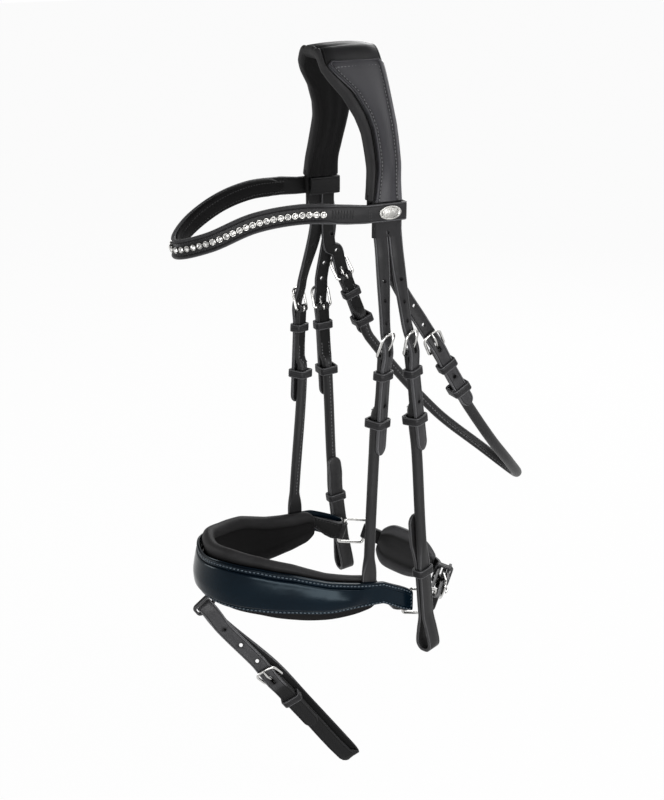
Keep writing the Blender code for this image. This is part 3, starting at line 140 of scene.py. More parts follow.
def buildStudio():
    eye = bpy.data.cameras.new("photoCamera")
    eye.lens = studio["lens"]
    camera = bpy.data.objects.new("photoCamera", eye)
    aimAt(camera, studio["eye"], studio["aim"])
    scene.camera = camera
    for name, lamp in studio["lamps"].items():
        light = bpy.data.lights.new(name, "AREA")
        light.shape = "RECTANGLE"
        light.size, light.size_y = lamp["wide"], lamp["tall"]
        light.energy = lamp["power"]
        box = bpy.data.objects.new(name, light)
        box.visible_camera = False
        aimAt(box, lamp["at"], lamp["aim"])
    sky = bpy.data.worlds.new("studioSky")
    sky.use_nodes = True
    scene.world = sky
    paint = Finish(sky, "Background")
    rays = [paint.node("ShaderNodeLightPath", {}, {}, ray)
            for ray in ("Is Camera Ray", "Is Glossy Ray", "Is Transmission Ray")]
    seen = paint.node("ShaderNodeMath", {"operation": "MINIMUM"}, {0: rays[0] + rays[1] + rays[2], 1: 1.0})
    way = paint.node("ShaderNodeTexCoord", {}, {}, "Generated")
    height = paint.node("ShaderNodeSeparateXYZ", {}, {"Vector": way}, "Z")
    dusk = paint.node("ShaderNodeMapRange", {"interpolation_type": "SMOOTHSTEP"},
                      {"Value": height, "From Min": studio["skyFrom"], "From Max": studio["skyTo"],
                       "To Min": 1.0, "To Max": studio["skyTop"]})
    paint.plug(paint.shader.inputs["Strength"],
               (studio["skyLight"] + seen * (1 - studio["skyLight"])) * dusk)
    paint.plug(paint.shader.inputs["Color"], (1.0, 1.0, 1.0))
    ground = bmesh.new()
    bmesh.ops.create_grid(ground, x_segments=1, y_segments=1, size=studio["floorSize"])
    bmesh.ops.translate(ground, verts=ground.verts, vec=(0, 0, studio["floor"]))
    mesh = bpy.data.meshes.new("floor")
    ground.to_mesh(mesh)
    ground.free()
    floor = bpy.data.objects.new("floor", mesh)
    scene.collection.objects.link(floor)
    pale = newFinish("paleFloor")
    tone = studio["floorTone"]
    pale.wear(colour=(tone, tone, tone), roughness=0.9, specular=0.1)
    rays = [pale.node("ShaderNodeLightPath", {}, {}, ray)
            for ray in ("Is Camera Ray", "Is Glossy Ray", "Is Transmission Ray")]
    seen = pale.node("ShaderNodeMath", {"operation": "MINIMUM"}, {0: rays[0] + rays[1] + rays[2], 1: 1.0})
    glow = pale.node("ShaderNodeEmission", {}, {"Color": (1.0, 1.0, 1.0), "Strength": 1.0})
    body = Wire(pale, pale.shader.outputs[0])
    mixed = pale.node("ShaderNodeMixShader", {}, {0: seen * studio["floorGlow"], 1: body, 2: glow})
    pale.plug(pale.tree.nodes["Material Output"].inputs["Surface"], mixed)
    mesh.materials.append(pale.owner)
    print("camera, lamps and floor set")


buildStudio()


# finishes

leathers = {  # grain and depth in metres; the flesh colour is the rough side of a strap and also painted shade in creases, grooves and shaded parts; the edge colour is a painted highlight on edges and rolls
    "bridleLeather": {"dark": (0.0065, 0.0065, 0.0069), "light": (0.0178, 0.0175, 0.0186),
                      "edge": (0.105, 0.105, 0.110),
                      "fleshAndPaintedShade": (0.0050, 0.0050, 0.0051), "rough": 0.40, "specular": 0.13, "grain": 0.00075,
                      "depth": 0.00010, "bump": 0.55},
    "rolledLeather": {"dark": (0.0085, 0.0085, 0.0088), "light": (0.0190, 0.0188, 0.0195),
                      "edge": (0.090, 0.090, 0.094),
                      "fleshAndPaintedShade": (0.0050, 0.0050, 0.0051), "rough": 0.42, "specular": 0.18, "grain": 0.00065,
                      "depth": 0.00009, "bump": 0.5},
    "smoothLeather": {"dark": (0.0150, 0.0146, 0.0172), "light": (0.0250, 0.0245, 0.0282),
                      "edge": (0.105, 0.104, 0.112),
                      "fleshAndPaintedShade": (0.0060, 0.0060, 0.0062), "rough": 0.40, "specular": 0.22, "grain": 0.00050,
                      "depth": 0.00005, "bump": 0.4},
    "softLeather": {"dark": (0.0045, 0.0044, 0.0045), "light": (0.0082, 0.0080, 0.0082),
                    "edge": (0.034, 0.0335, 0.0345),
                    "fleshAndPaintedShade": (0.0045, 0.0044, 0.0045), "rough": 0.56, "specular": 0.05, "grain": 0.00110,
                    "depth": 0.00016, "bump": 0.6},
}
patent = {"dark": (0.0009, 0.0024, 0.0050), "light": (0.0021, 0.0062, 0.0108), "rough": 0.13,
          "specular": 0.12, "tint": (0.68, 0.88, 1.0),
          "coat": 0.02, "coatRoughness": 0.05, "ripple": 55, "rippleDepth": 0.0010}
steels = {
    "brightSteel": {"bright": (0.66, 0.655, 0.64), "dullAndPaintedShade": (0.30, 0.296, 0.285), "rough": 0.13,
                    "dent": 0.08, "pit": 2600, "deep": 0.00005},
    "agedSilver": {"bright": (0.42, 0.415, 0.40), "dullAndPaintedShade": (0.12, 0.118, 0.11), "rough": 0.30, "dent": 0.60,
                   "pit": 700, "deep": 0.0004},
}
# deep and flash are the painted dark and bright reflections that the facets get at random
crystal = {"deep": (0.09, 0.09, 0.093), "flash": (0.80, 0.79, 0.77), "rough": 0.07}
threads = {
    # the black thread is painted lighter as a sheen
    "blackThreadWithPaintedSheen": {"dark": (0.045, 0.045, 0.047), "light": (0.135, 0.135, 0.140), "rough": 0.55},
    "darkThread": {"dark": (0.012, 0.012, 0.0125), "light": (0.034, 0.034, 0.035), "rough": 0.60},
    "navyThread": {"dark": (0.026, 0.037, 0.049), "light": (0.088, 0.110, 0.128), "rough": 0.50},
}


def leatherFinish(name, look):
    made = newFinish(name)
    made.wear(specular=look["specular"])
    place = made.node("ShaderNodeTexCoord", {}, {}, "Object")
    cloud = made.node("ShaderNodeTexNoise", {},
                      {"Vector": place, "Scale": 42, "Detail": 5, "Roughness": 0.6})
    cells = made.node("ShaderNodeTexVoronoi", {"feature": "SMOOTH_F1"},
                      {"Vector": place, "Scale": 1 / look["grain"], "Smoothness": 0.35})
    pores = made.node("ShaderNodeTexNoise", {},
                      {"Vector": place, "Scale": 2.6 / look["grain"], "Detail": 3})
    # the edge attribute paints light: above 0 it blends towards the painted highlight colour, below 0
    # towards the flesh colour as painted shade
    mark = made.node("ShaderNodeAttribute", {"attribute_name": "edge"}, {}, "Fac")
    edge = made.node("ShaderNodeMath", {"operation": "MAXIMUM"}, {0: mark, 1: 0.0})
    fleshAndPaintedShade = made.node("ShaderNodeMath", {"operation": "MAXIMUM"}, {0: 0 - mark, 1: 0.0})
    hide = made.blendColours(cloud * 0.75 + pores * 0.35 - 0.05, look["dark"], look["light"])
    withPaintedHighlight = made.blendColours(edge * (cloud * 0.7 + 0.35), hide, look["edge"])
    colour = made.blendColours(fleshAndPaintedShade * 0.85, withPaintedHighlight, look["fleshAndPaintedShade"])
    roughness = look["rough"] - 0.10 + cloud * 0.12 + pores * 0.10 - edge * 0.08 + fleshAndPaintedShade * 0.26
    height = cells * 0.75 + pores * 0.5
    bump = made.node("ShaderNodeBump", {},
                     {"Strength": look["bump"], "Distance": look["depth"], "Height": height})
    made.wear(colour=colour, roughness=roughness, normal=bump)
    return made.owner


def patentFinish(name):
    made = newFinish(name)
    made.wear(specular=patent["specular"], tint=patent["tint"], coatRoughness=patent["coatRoughness"])
    place = made.node("ShaderNodeTexCoord", {}, {}, "Object")
    cloud = made.node("ShaderNodeTexNoise", {}, {"Vector": place, "Scale": 22, "Detail": 3})
    ripple = made.node("ShaderNodeTexNoise", {}, {"Vector": place, "Scale": patent["ripple"], "Detail": 2})
    dust = made.node("ShaderNodeTexNoise", {}, {"Vector": place, "Scale": 900, "Detail": 2})
    colour = made.blendColours(cloud * 1.6 - 0.3, patent["dark"], patent["light"])
    bump = made.node("ShaderNodeBump", {},
                     {"Strength": 0.22, "Distance": patent["rippleDepth"], "Height": ripple})
    made.wear(colour=colour, roughness=patent["rough"] + dust * 0.06, normal=bump,
              coat=patent["coat"] * dust)
    return made.owner


def steelFinish(name, steel):
    made = newFinish(name)
    made.wear(metallic=1.0)
    place = made.node("ShaderNodeTexCoord", {}, {}, "Object")
    smudge = made.node("ShaderNodeTexNoise", {}, {"Vector": place, "Scale": 240, "Detail": 4})
    fine = made.node("ShaderNodeTexNoise", {}, {"Vector": place, "Scale": steel["pit"], "Detail": 2})
    colour = made.blendColours(smudge * 1.5 - 0.45, steel["bright"], steel["dullAndPaintedShade"])
    bump = made.node("ShaderNodeBump", {},
                     {"Strength": steel["dent"], "Distance": steel["deep"], "Height": fine})
    made.wear(colour=colour, roughness=steel["rough"] + smudge * 0.12, normal=bump)
    return made.owner


def crystalFinish(name):
    made = newFinish(name)
    made.wear(roughness=crystal["rough"], metallic=0.9)
    paintedFacetGlint = made.node("ShaderNodeAttribute", {"attribute_name": "paintedFacetGlint"}, {}, "Fac")
    made.wear(colour=made.blendColours(paintedFacetGlint, crystal["deep"], crystal["flash"]))
    return made.owner


def threadFinish(name, thread):
    made = newFinish(name)
    made.wear(specular=0.25)
    place = made.node("ShaderNodeTexCoord", {}, {}, "Object")
    twist = made.node("ShaderNodeTexNoise", {}, {"Vector": place, "Scale": 1900, "Detail": 3})
    colour = made.blendColours(twist * 1.6 - 0.3, thread["dark"], thread["light"])
    bump = made.node("ShaderNodeBump", {}, {"Strength": 0.5, "Distance": 0.0001, "Height": twist})
    made.wear(colour=colour, roughness=thread["rough"] + twist * 0.1, normal=bump)
    return made.owner


finishes = {name: leatherFinish(name, look) for name, look in leathers.items()}
finishes["patentLeather"] = patentFinish("patentLeather")
for name, look in steels.items():
    finishes[name] = steelFinish(name, look)
finishes["clearCrystal"] = crystalFinish("clearCrystal")
for name, look in threads.items():
    finishes[name] = threadFinish(name, look)
print("finishes made")


# lines and frames

def mix(first, second, share):
    return first + (second - first) * share


def ease(share):
    share = min(max(share, 0), 1)
    return share * share * (3 - 2 * share)


def seat(origin, along, outward):  # x across the strap, y along it, z out of its face
    y = Vector(along).normalized()
    z = Vector(outward)
    z = (z - z.dot(y) * y).normalized()
    made = Matrix((y.cross(z), y, z)).transposed().to_4x4()
    made.translation = Vector(origin)
    return made


def across(place):
    return place.col[0].xyz


def smoothLine(points, steps):
    points = [Vector(p) for p in points]
    gaps = [max((b - a).length, 0.0003) for a, b in zip(points, points[1:])]
    slopes = [(b - a) / gap for a, b, gap in zip(points, points[1:], gaps)]
    ways = [slopes[0]]
    for i in range(1, len(slopes)):
        ways.append((points[i + 1] - points[i - 1]) / (gaps[i - 1] + gaps[i]))
    ways.append(slopes[-1])
    line = []
    for i, gap in enumerate(gaps):
        for k in range(steps[i]):
            s = k / steps[i]
            r = 1 - s
            held = points[i] * (1 + 2 * s) * r * r + points[i + 1] * (1 + 2 * r) * s * s
            line.append(held + ways[i] * gap * s * r * r - ways[i + 1] * gap * r * s * s)
    line.append(points[-1])
    return line


def tangents(line, closed=False):
    count = len(line)
    found = []
    for i in range(count):
        ahead = line[(i + 1) % count] if closed else line[min(i + 1, count - 1)]
        behind = line[i - 1] if closed else line[max(i - 1, 0)]
        found.append((ahead - behind).normalized())
    return found


def softCurve(points, steps):  # closed curve through points, as pairs
    count = len(points)
    found = []
    for i in range(count):
        a, b, c, d = (Vector(points[(i + k) % count]) for k in (-1, 0, 1, 2))
        for k in range(steps):
            s = k / steps
            found.append(0.5 * (2 * b + (c - a) * s + (2 * a - 5 * b + 4 * c - d) * s * s
                                + (3 * b - a - 3 * c + d) * s ** 3))
    return found


def roundedBox(halfX, halfY, radii, steps):
    points = []
    for turn, ((sx, sy), radius) in enumerate(zip(((1, 1), (-1, 1), (-1, -1), (1, -1)), radii)):
        for k in range(steps + 1):
            angle = math.pi / 2 * (turn + k / steps)
            points.append((sx * (halfX - radius) + radius * math.cos(angle),
                           sy * (halfY - radius) + radius * math.sin(angle)))
    return points


# meshes

def sweep(bm, rings, closed=False):  # each ring lists a place and a mark for every point; the mark paints a highlight above 0 and shade below 0
    layer = bm.verts.layers.float.get("edge") or bm.verts.layers.float.new("edge")
    face = bmesh.ops.create_circle(bm, cap_ends=True, segments=len(rings[0]),
                                   radius=1)["verts"][0].link_faces[0]
    for k, ring in enumerate(rings + rings[:1] if closed else rings):
        if k:
            grown = bmesh.ops.extrude_face_region(bm, geom=[face])["geom"]
            if closed or k > 1:
                bm.faces.remove(face)
            face = next(g for g in grown if isinstance(g, bmesh.types.BMFace))
        for vert, (place, mark) in zip(face.verts, ring):
            vert.co = place
            vert[layer] = mark
    if closed:
        bm.faces.remove(face)
        bmesh.ops.remove_doubles(bm, verts=bm.verts, dist=1e-7)


def makePiece(name, bm, finish, body="bridle", nodes=(), sharp=38):
    bmesh.ops.recalc_face_normals(bm, faces=bm.faces)
    mesh = bpy.data.meshes.new(name)
    bm.to_mesh(mesh)
    bm.free()
    mesh.shade_smooth()
    mesh.set_sharp_from_angle(angle=math.radians(sharp))
    mesh.materials.append(finishes[finish])
    piece = bpy.data.objects.new(name, mesh)
    scene.collection.objects.link(piece)
    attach(piece, body)
    if nodes:
        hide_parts(*nodes)
    return piece


def bakeModifiers(piece):
    graph = bpy.context.evaluated_depsgraph_get()
    made = bpy.data.meshes.new_from_object(piece.evaluated_get(graph), preserve_all_data_layers=True,
                                           depsgraph=graph)
    old = piece.data
    piece.modifiers.clear()
    piece.data = made
    made.name = piece.name
    bpy.data.meshes.remove(old)


def mainBody(bm):  # the corners of the largest loose part
    seen, best = set(), []
    for first in bm.verts:
        if first in seen:
            continue
        part, queue = [], [first]
        seen.add(first)
        while queue:
            vert = queue.pop()
            part.append(vert)
            for edge in vert.link_edges:
                other = edge.other_vert(vert)
                if other not in seen:
                    seen.add(other)
                    queue.append(other)
        best = max(best, part, key=len)
    return set(best)


def holdAside(piece):  # leaves the largest part in the piece and gives the folds beside it as a mesh
    aside = piece.data.copy()
    for mesh, keepsMain in ((piece.data, True), (aside, False)):
        bm = bmesh.new()
        bm.from_mesh(mesh)
        body = mainBody(bm)
        bmesh.ops.delete(bm, geom=[v for v in bm.verts if (v in body) != keepsMain], context="VERTS")
        bm.to_mesh(mesh)
        bm.free()
    return aside


def punch(piece, bm):  # cuts the closed shapes in bm out of the largest part of a piece
    bmesh.ops.recalc_face_normals(bm, faces=bm.faces)
    mesh = bpy.data.meshes.new("punch")
    bm.to_mesh(mesh)
    bm.free()
    tool = bpy.data.objects.new("punch", mesh)
    scene.collection.objects.link(tool)
    aside = holdAside(piece)
    cut = piece.modifiers.new("holes", "BOOLEAN")
    cut.operation, cut.solver, cut.object = "DIFFERENCE", "EXACT", tool
    bpy.context.view_layer.update()
    bakeModifiers(piece)
    bpy.data.objects.remove(tool)
    bpy.data.meshes.remove(mesh)
    if len(aside.vertices):
        whole = bmesh.new()
        whole.from_mesh(piece.data)
        whole.from_mesh(aside)
        whole.to_mesh(piece.data)
        whole.free()
    bpy.data.meshes.remove(aside)
    piece.data.set_sharp_from_angle(angle=math.radians(38))


def soften(piece, levels=1):
    smooth = piece.modifiers.new("smooth", "SUBSURF")
    smooth.levels = smooth.render_levels = levels


def wireMesh(lines, diameter, closed, roundness=5, taper=None):
    curve = bpy.data.curves.new("wire", "CURVE")
    curve.dimensions = "3D"
    curve.bevel_depth = diameter / 2
    curve.bevel_resolution = roundness
    curve.use_fill_caps = True
    for line in lines:
        spline = curve.splines.new("POLY")
        spline.points.add(len(line) - 1)
        for i, (point, place) in enumerate(zip(spline.points, line)):
            point.co = (*place, 1)
            point.radius = taper[i] if taper else 1
        spline.use_cyclic_u = closed
    temp = bpy.data.objects.new("wire", curve)
    scene.collection.objects.link(temp)
    bpy.context.view_layer.update()
    mesh = bpy.data.meshes.new_from_object(temp.evaluated_get(bpy.context.evaluated_depsgraph_get()))
    bm = bmesh.new()
    bm.from_mesh(mesh)
    bmesh.ops.remove_doubles(bm, verts=bm.verts, dist=1e-7)
    bpy.data.objects.remove(temp)
    bpy.data.curves.remove(curve)
    bpy.data.meshes.remove(mesh)
    return bm


def stitchRow(bm, path, pitch=0.0031,
              size=(0.0025, 0.0010, 0.0009)):  # path holds places and the way out there
    reach, want = 0.0, pitch / 2
    scale = Matrix.Diagonal((size[0] / 2, size[1] / 2, size[2] / 2, 1))
    for (a, outA), (b, outB) in zip(path, path[1:]):
        gap = (b - a).length
        while gap and want <= reach + gap:
            share = (want - reach) / gap
            along = (b - a).normalized()
            side = outA.lerp(outB, share).cross(along).normalized()
            turn = Matrix((along, side, along.cross(side))).transposed().to_4x4()
            turn.translation = a.lerp(b, share)
            bmesh.ops.create_icosphere(bm, subdivisions=1, radius=1, matrix=turn @ scale)
            want += pitch
        reach += gap


# straps

touch, play = 0.0003, 0.0005
# leatherCut also holds the amount of painted highlight put on strap ends
leatherCut = {"width": 0.0127, "thick": 0.0030, "roll": 0.0095, "tip": 0.0085, "hole": 0.0034,
              "holePitch": 0.0175, "holes": 3,
              "crease": 0.0017, "groove": 0.00035, "paintedLight": 0.25, "fine": 4}
buckle = {"wire": 0.0026, "height": 0.0185, "sidePlay": 0.0008, "topRadius": 0.0055, "prong": 0.0020,
          "overhang": 0.0016,
          "layer": 0.0020, "chape": 0.0450, "tail": 0.0815, "tailHole": 0.55, "settle": 0.75,
          "wall": 0.0020,
          "keeperHeight": 0.0075, "keeperAt": 0.0180, "runnerAt": 0.0615, "rollReach": 0.0300,
          "throatChape": 0.0330, "throatTail": 0.0550, "throatRunnerAt": 0.0460, "throatReach": 0.0200}
width, thick, roll = leatherCut["width"], leatherCut["thick"], leatherCut["roll"]
eyeBore = buckle["wire"] / 2 + touch
eyeRadius = eyeBore + buckle["layer"]
overBar = eyeRadius + touch + thick / 2
tailLift = buckle["layer"] + touch + thick / 2
rollLift = buckle["layer"] - roll / 2
billetLead = 1.5 * buckle["height"]
chapeWidth = width - 2 * play


def strapOutline(wide, deep):  # rounded and creased edges; marks above 0 paint a highlight on the rounded edges, marks below 0 paint shade in the creases and mark the rough underside
    corner = min(0.0009, 0.32 * deep)
    inset = min(leatherCut["crease"], 0.2 * wide)
    half, top, dip = wide / 2, deep / 2, min(leatherCut["groove"], 0.1 * deep)
    quarter = [(half - 0.10 * corner, top - 0.85 * corner, 0.40),
               (half - 0.33 * corner, top - 0.33 * corner, 0.55),
               (half - 0.95 * corner, top, 0.75), (half - 0.75 * inset, top, 0.60),
               (half - inset, top - dip, -0.80),
               (half - 1.3 * inset, top, 0.10)]
    points = [(half, 0, 0.3), *quarter, (0, top, 0.0)]
    points += [(-x, y, m) for x, y, m in quarter[::-1]]
    rough = [(x, -y, m if k < 3 else -1.0) for k, (x, y, m) in enumerate(quarter)]
    points += [(-half, 0, 0.3)] + [(-x, y, m) for x, y, m in rough]
    return points + [(0, -top, -1.0)] + rough[::-1]


def rollOutline(wide, deep):  # a round with its sewn seam at the back
    points = []
    for k in range(28):
        angle = 2 * math.pi * k / 28
        shrink = {21: 0.88, 20: 0.985, 22: 0.985}.get(k, 1.0)
        points.append((shrink * wide / 2 * math.cos(angle), shrink * deep / 2 * math.sin(angle), 0.0))
    return points


# the last value lowers a strap's marks: above 0 it paints shade and roughens the leather, below 0 it paints
# a highlight
def stop(at, side, wide, deep, turned=0.0, steps=1, dullAndPaintedShade=0.0):
    return {"at": Vector(at), "side": Vector(side), "wide": wide, "deep": deep, "turned": turned,
            "dullAndPaintedShade": dullAndPaintedShade,
            "steps": steps * leatherCut["fine"]}


def strapFrames(stops):
    line = smoothLine([s["at"] for s in stops], [s["steps"] for s in stops])
    ways = tangents(line)
    frames = []
    for here, there in zip(stops, stops[1:] + stops[-1:]):
        for k in range(here["steps"] if there is not here else 1):
            share = ease(k / here["steps"])
            at, along = line[len(frames)], ways[len(frames)]
            side = here["side"].lerp(there["side"], share)
            side = (side - side.dot(along) * along).normalized()
            size = {key: mix(here[key], there[key], share) for key in ("wide", "deep", "turned", "dullAndPaintedShade")}
            frames.append({"at": at, "along": along, "side": side, "out": side.cross(along), **size})
    return frames


def strapRing(place, outline=None):
    flat = (outline or strapOutline)(place["wide"], place["deep"])
    points = []
    for (x, y, mark), (rx, ry, rmark) in zip(flat, rollOutline(place["wide"], place["deep"])):
        turned = place["turned"]
        x, y, mark = mix(x, rx, turned), mix(y, ry, turned), mix(mark, rmark, turned)
        points.append((place["at"] + place["side"] * x + place["out"] * y, mark - place["dullAndPaintedShade"]))
    return points


def strapMesh(stops, outline=None):
    bm = bmesh.new()
    frames = strapFrames(stops)
    sweep(bm, [strapRing(place, outline) for place in frames])
    return bm, frames


def roundTip(end, along, side, wide, deep):
    stops = []
    for share in (0.2, 0.4, 0.58, 0.73, 0.85, 0.93, 0.98, 1.0):
        narrow = max(0.1, (1 - share ** 2.3)) ** 0.5
        made = stop(end + along * leatherCut["tip"] * share, side, wide * narrow,
                    deep * (1 - 0.25 * share ** 4))
        made["steps"] = 1
        stops.append(made)
    return stops


def edgeStitches(bm, frames, inset=0.0022, both=True):
    for sign in (1, -1):
        for face in (1, -1) if both else (1,):
            path = [(f["at"] + f["side"] * sign * (f["wide"] / 2 - inset) + f["out"] * face
                     * (f["deep"] / 2), f["out"] * face) for f in frames]
            stitchRow(bm, path)


def seamStitches(bm, frames):  # along the closed seam of a roll
    path = [(f["at"] - f["out"] * 0.44 * f["deep"], -f["out"]) for f in frames if f["turned"] > 0.9]
    if len(path) > 1:
        stitchRow(bm, path, 0.0036, (0.0026, 0.0011, 0.0008))


# buckles, prongs, folds, keepers

def billetLift(along):
    if along < 0:
        return overBar * ease(1 + along / billetLead)
    return overBar + (tailLift - overBar) * ease(along / buckle["height"] / buckle["settle"])


def topBarLift():
    high = buckle["height"]
    lean = (billetLift(-0.95 * high) - billetLift(-1.05 * high)) / (0.1 * high)
    return billetLift(-high) + (thick / 2 + touch + buckle["wire"] / 2) * math.hypot(1, lean) + 2 * play


def buckleFrame(name, place, body, node, wide=width):
    half = wide / 2 + buckle["sidePlay"] + buckle["wire"] / 2
    slant = math.hypot(buckle["height"], topBarLift())
    low = buckle["sidePlay"] + buckle["wire"] / 2
    outline = roundedBox(half, slant / 2, (buckle["topRadius"], buckle["topRadius"], low, low), 7)
    line = [place
            @ Vector((x, -(y + slant / 2) * buckle["height"] / slant,
                      (y + slant / 2) * topBarLift() / slant)) for x, y in outline]
    bm = wireMesh([line], buckle["wire"], True)
    middle = sum(line, Vector()) / len(line)
    normal = (line[0] - middle).cross(line[9] - middle).normalized()
    for vert in bm.verts:  # cast frames are a little flattened on their faces
        lift = (vert.co - middle).dot(normal)
        vert.co -= normal * lift * 0.12
    return makePiece(name, bm, "brightSteel", body, [node], 60)


def prongLine():
    rest = topBarLift() + buckle["wire"] / 2 + touch + buckle["prong"] / 2
    clear = thick / 2 + buckle["prong"] / 2 + 2 * play
    through, front, high = -0.26 * buckle["height"], -0.52 * buckle["height"], buckle["height"]
    points = [(0, -high - buckle["overhang"], rest), (0, 0.5 * (front - high), rest + play),
              (0, front, billetLift(front) + clear), (0, through, billetLift(through))]
    line = smoothLine(points, [6, 8, 6])[:-1]
    loop = buckle["wire"] / 2 + play + buckle["prong"] / 2
    turns = [math.radians(100 - 10 * k) for k in range(25)]
    join = [Vector(points[-1])] + [Vector((0, loop * math.cos(a), loop * math.sin(a))) for a in turns]
    return line + smoothLine(join[:2], [3])[:-1] + join[1:]


def prongPiece(name, place, body, node):
    line = prongLine()
    taper = [0.62 + 0.38 * ease(i / 6) for i in range(len(line))]
    bm = wireMesh([[place @ p for p in line]], buckle["prong"], False, 4, taper)
    return makePiece(name, bm, "brightSteel", body, [node], 60)


def prongSlot(bm, place):  # the long hole that the prong swings in
    reach = []
    for swing in (0, 7.5, 15):
        turned = Matrix.Rotation(-math.radians(swing), 3, "X")
        for point in (turned @ p for p in prongLine()):
            if abs(point.z - billetLift(point.y)) < thick / 2 + buckle["prong"] / 2 and point.y < 0:
                reach.append(point.y)
    spare = buckle["prong"] / 2 + play
    low, high = min(reach) - spare, max(reach) + spare
    made = bmesh.ops.create_cone(bm, cap_ends=True, segments=24, radius1=spare, radius2=spare,
                                 depth=3 * overBar,
                                 matrix=Matrix.Translation((0, (low + high) / 2, 1.5 * overBar)))["verts"]
    for vert in made:
        vert.co.y += math.copysign((high - low) / 2 - spare, vert.co.y - (low + high) / 2)
    bmesh.ops.transform(bm, matrix=place, verts=made)


def roundHoles(bm, places, direction, size=None, depth=3 * thick):
    turn = zAxis.rotation_difference(direction).to_matrix().to_4x4()
    radius = (size or leatherCut["hole"]) / 2
    for place in places:
        bmesh.ops.create_cone(bm, cap_ends=True, segments=20, radius1=radius, radius2=radius, depth=depth,
                              matrix=Matrix.Translation(place) @ turn)


def billetStops(place, wide, tail, lead=True):
    stops = []
    settle = buckle["settle"]
    for share in (*((-1.5,) if lead else ()), -1, -0.7, -0.3, 0, 0.4 * settle, settle):
        u = share * buckle["height"]
        stops.append(stop(place @ Vector((0, u, billetLift(u))), across(place), wide, thick))
    end = place @ Vector((0, tail, tailLift))
    last = stop(end, across(place), wide, thick)
    last["steps"] = 1
    stops += [last] + roundTip(end, place.col[1].xyz, across(place), wide, thick)
    # from just before the bar to the tip the strap gets a painted highlight
    for item in stops[3:]:
        item["dullAndPaintedShade"] = -leatherCut["paintedLight"]
    return stops


def foldEye(bm, place, wide, bore, wall, slotted):  # leather folded round a bar, split for the prong
    gap = buckle["prong"] / 2 + 2 * play
    half = wide / 2 - touch
    spans = ((-half, -gap), (gap, half)) if slotted else ((-half, half),)
    for low, high in spans:
        rings = []
        for k in range(28):
            angle = 2 * math.pi * k / 28
            away = Vector((0, math.cos(angle), math.sin(angle)))
            middle = away * (bore + wall / 2)
            ring = []
            for x, y, mark in strapOutline(high - low, wall):
                ring.append((place @ (middle + xAxis * (x + (low + high) / 2) + away * y), 0.5 * mark))
            rings.append(ring)
        sweep(bm, rings, True)


def chapeStops(place, wide, length, steps=1):
    start = eyeBore + 0.5 * buckle["layer"]
    # the doubled chape gets painted shade
    return [stop(place @ Vector((0, start, 0)), across(place), wide, 2 * buckle["layer"], dullAndPaintedShade=0.6),
            stop(place @ Vector((0, length, 0)), across(place), wide, 2 * buckle["layer"], steps=steps,
                 dullAndPaintedShade=0.6)]


def keeperPiece(name, place, at, low, high, wide, body, node, tall=None, finish="bridleLeather"):
    tall = tall or buckle["keeperHeight"]
    wall = buckle["wall"]
    half = (high - low + wall) / 2
    outline = roundedBox((wide + wall) / 2, half, (1.1 * wall,) * 4, 5)
    line = [Vector((x, at, y + (high + low) / 2)) for x, y in outline]
    rings = []
    for point, along in zip(line, tangents(line, True)):
        out = yAxis.cross(along)
        rings.append([(place @ (point + yAxis * x + out * y), mark)
                      for x, y, mark in strapOutline(tall, wall)])
    bm = bmesh.new()
    sweep(bm, rings, True)
    return makePiece(name, bm, finish, body, [node])


def fixedKeeper(name, place, node, body="bridle", at=None, wide=width):
    return keeperPiece(name, place, at or buckle["keeperAt"], -buckle["layer"] - touch,
                       tailLift + thick / 2 + touch,
                       wide + 2 * touch, body, node)


def looseRunner(name, place, at, node):
    low = rollLift - roll / 2 - play
    return keeperPiece(name, place, at, low, tailLift + thick / 2 + play, width + 2 * play, node, node)


def rollStop(at, side, steps=1):
    return stop(at, side, roll, roll, 1.0, steps)


def rollStart(place, steps=1, chape=None):
    return rollStop(place @ Vector((0, (chape or buckle["chape"]) + roll, rollLift)), across(place), steps)


def fittings(kind, side, place, runnerAt=None):
    name = sides[side]
    label = kind + name.capitalize()
    buckleFrame(label + "Buckle", place, "bridle", f"{kind}_buckle_{name}")
    prongPiece(label + "Prong", place, f"{kind}_prong_{name}", f"{kind}_prong_{name}")
    fixedKeeper(label + "Keeper", place, f"{kind}_keeper_{name}")
    looseRunner(label + "Runner", place, runnerAt or buckle["runnerAt"], f"{kind}_runner_{name}")


routes = {
    "hangerBar": {1: (0.0780, 0.0030, -0.2350), -1: (-0.0780, 0.0020, -0.2350)},
    "hangerFoot": {1: (0.0712, -0.0045, -0.4410), -1: (-0.0712, -0.0100, -0.4322)},
    "cheekBar": {1: (0.0785, 0.0280, -0.2360), -1: (-0.0785, 0.0240, -0.2360)},
    "cheekRun": {1: (0.0800, 0.0375, -0.3160), -1: (-0.0800, 0.0290, -0.3160)},
    "cheekEnd": {1: (0.0833, 0.0430, -0.4210), -1: (-0.0833, 0.0365, -0.4100)},
    "bitBottom": {1: (0.0833, 0.0530, -0.5230), -1: (-0.0833, 0.0495, -0.5110)},
    "throatBar": {1: (0.0700, 0.0600, -0.2405), -1: (-0.0630, 0.0400, -0.2050)},
    "throatRun": {1: (0.0700, 0.1030, -0.3120), -1: (-0.0640, 0.0685, -0.2775)},
    "throatLoop": ((0.0615, 0.1235, -0.3365), (0.0400, 0.1595, -0.3740), (0.0050, 0.1900, -0.4020),
                   (-0.0330, 0.1790, -0.3900), (-0.0570, 0.1340, -0.3490)),
    "facing": {"hanger": {1: 27, -1: -30}, "cheek": {1: 27, -1: 0},
               "throat": {1: 0, -1: 0}},  # degrees to the rear
}


def seatOf(kind, side):
    bar = Vector(routes[kind + "Bar"][side])
    below = Vector(routes["hangerFoot" if kind == "hanger" else kind + "Run"][side])
    turn = math.radians(routes["facing"][kind][side])
    return seat(bar, below - bar, xAxis * side * math.cos(turn) + yAxis * math.sin(turn))


# headpiece

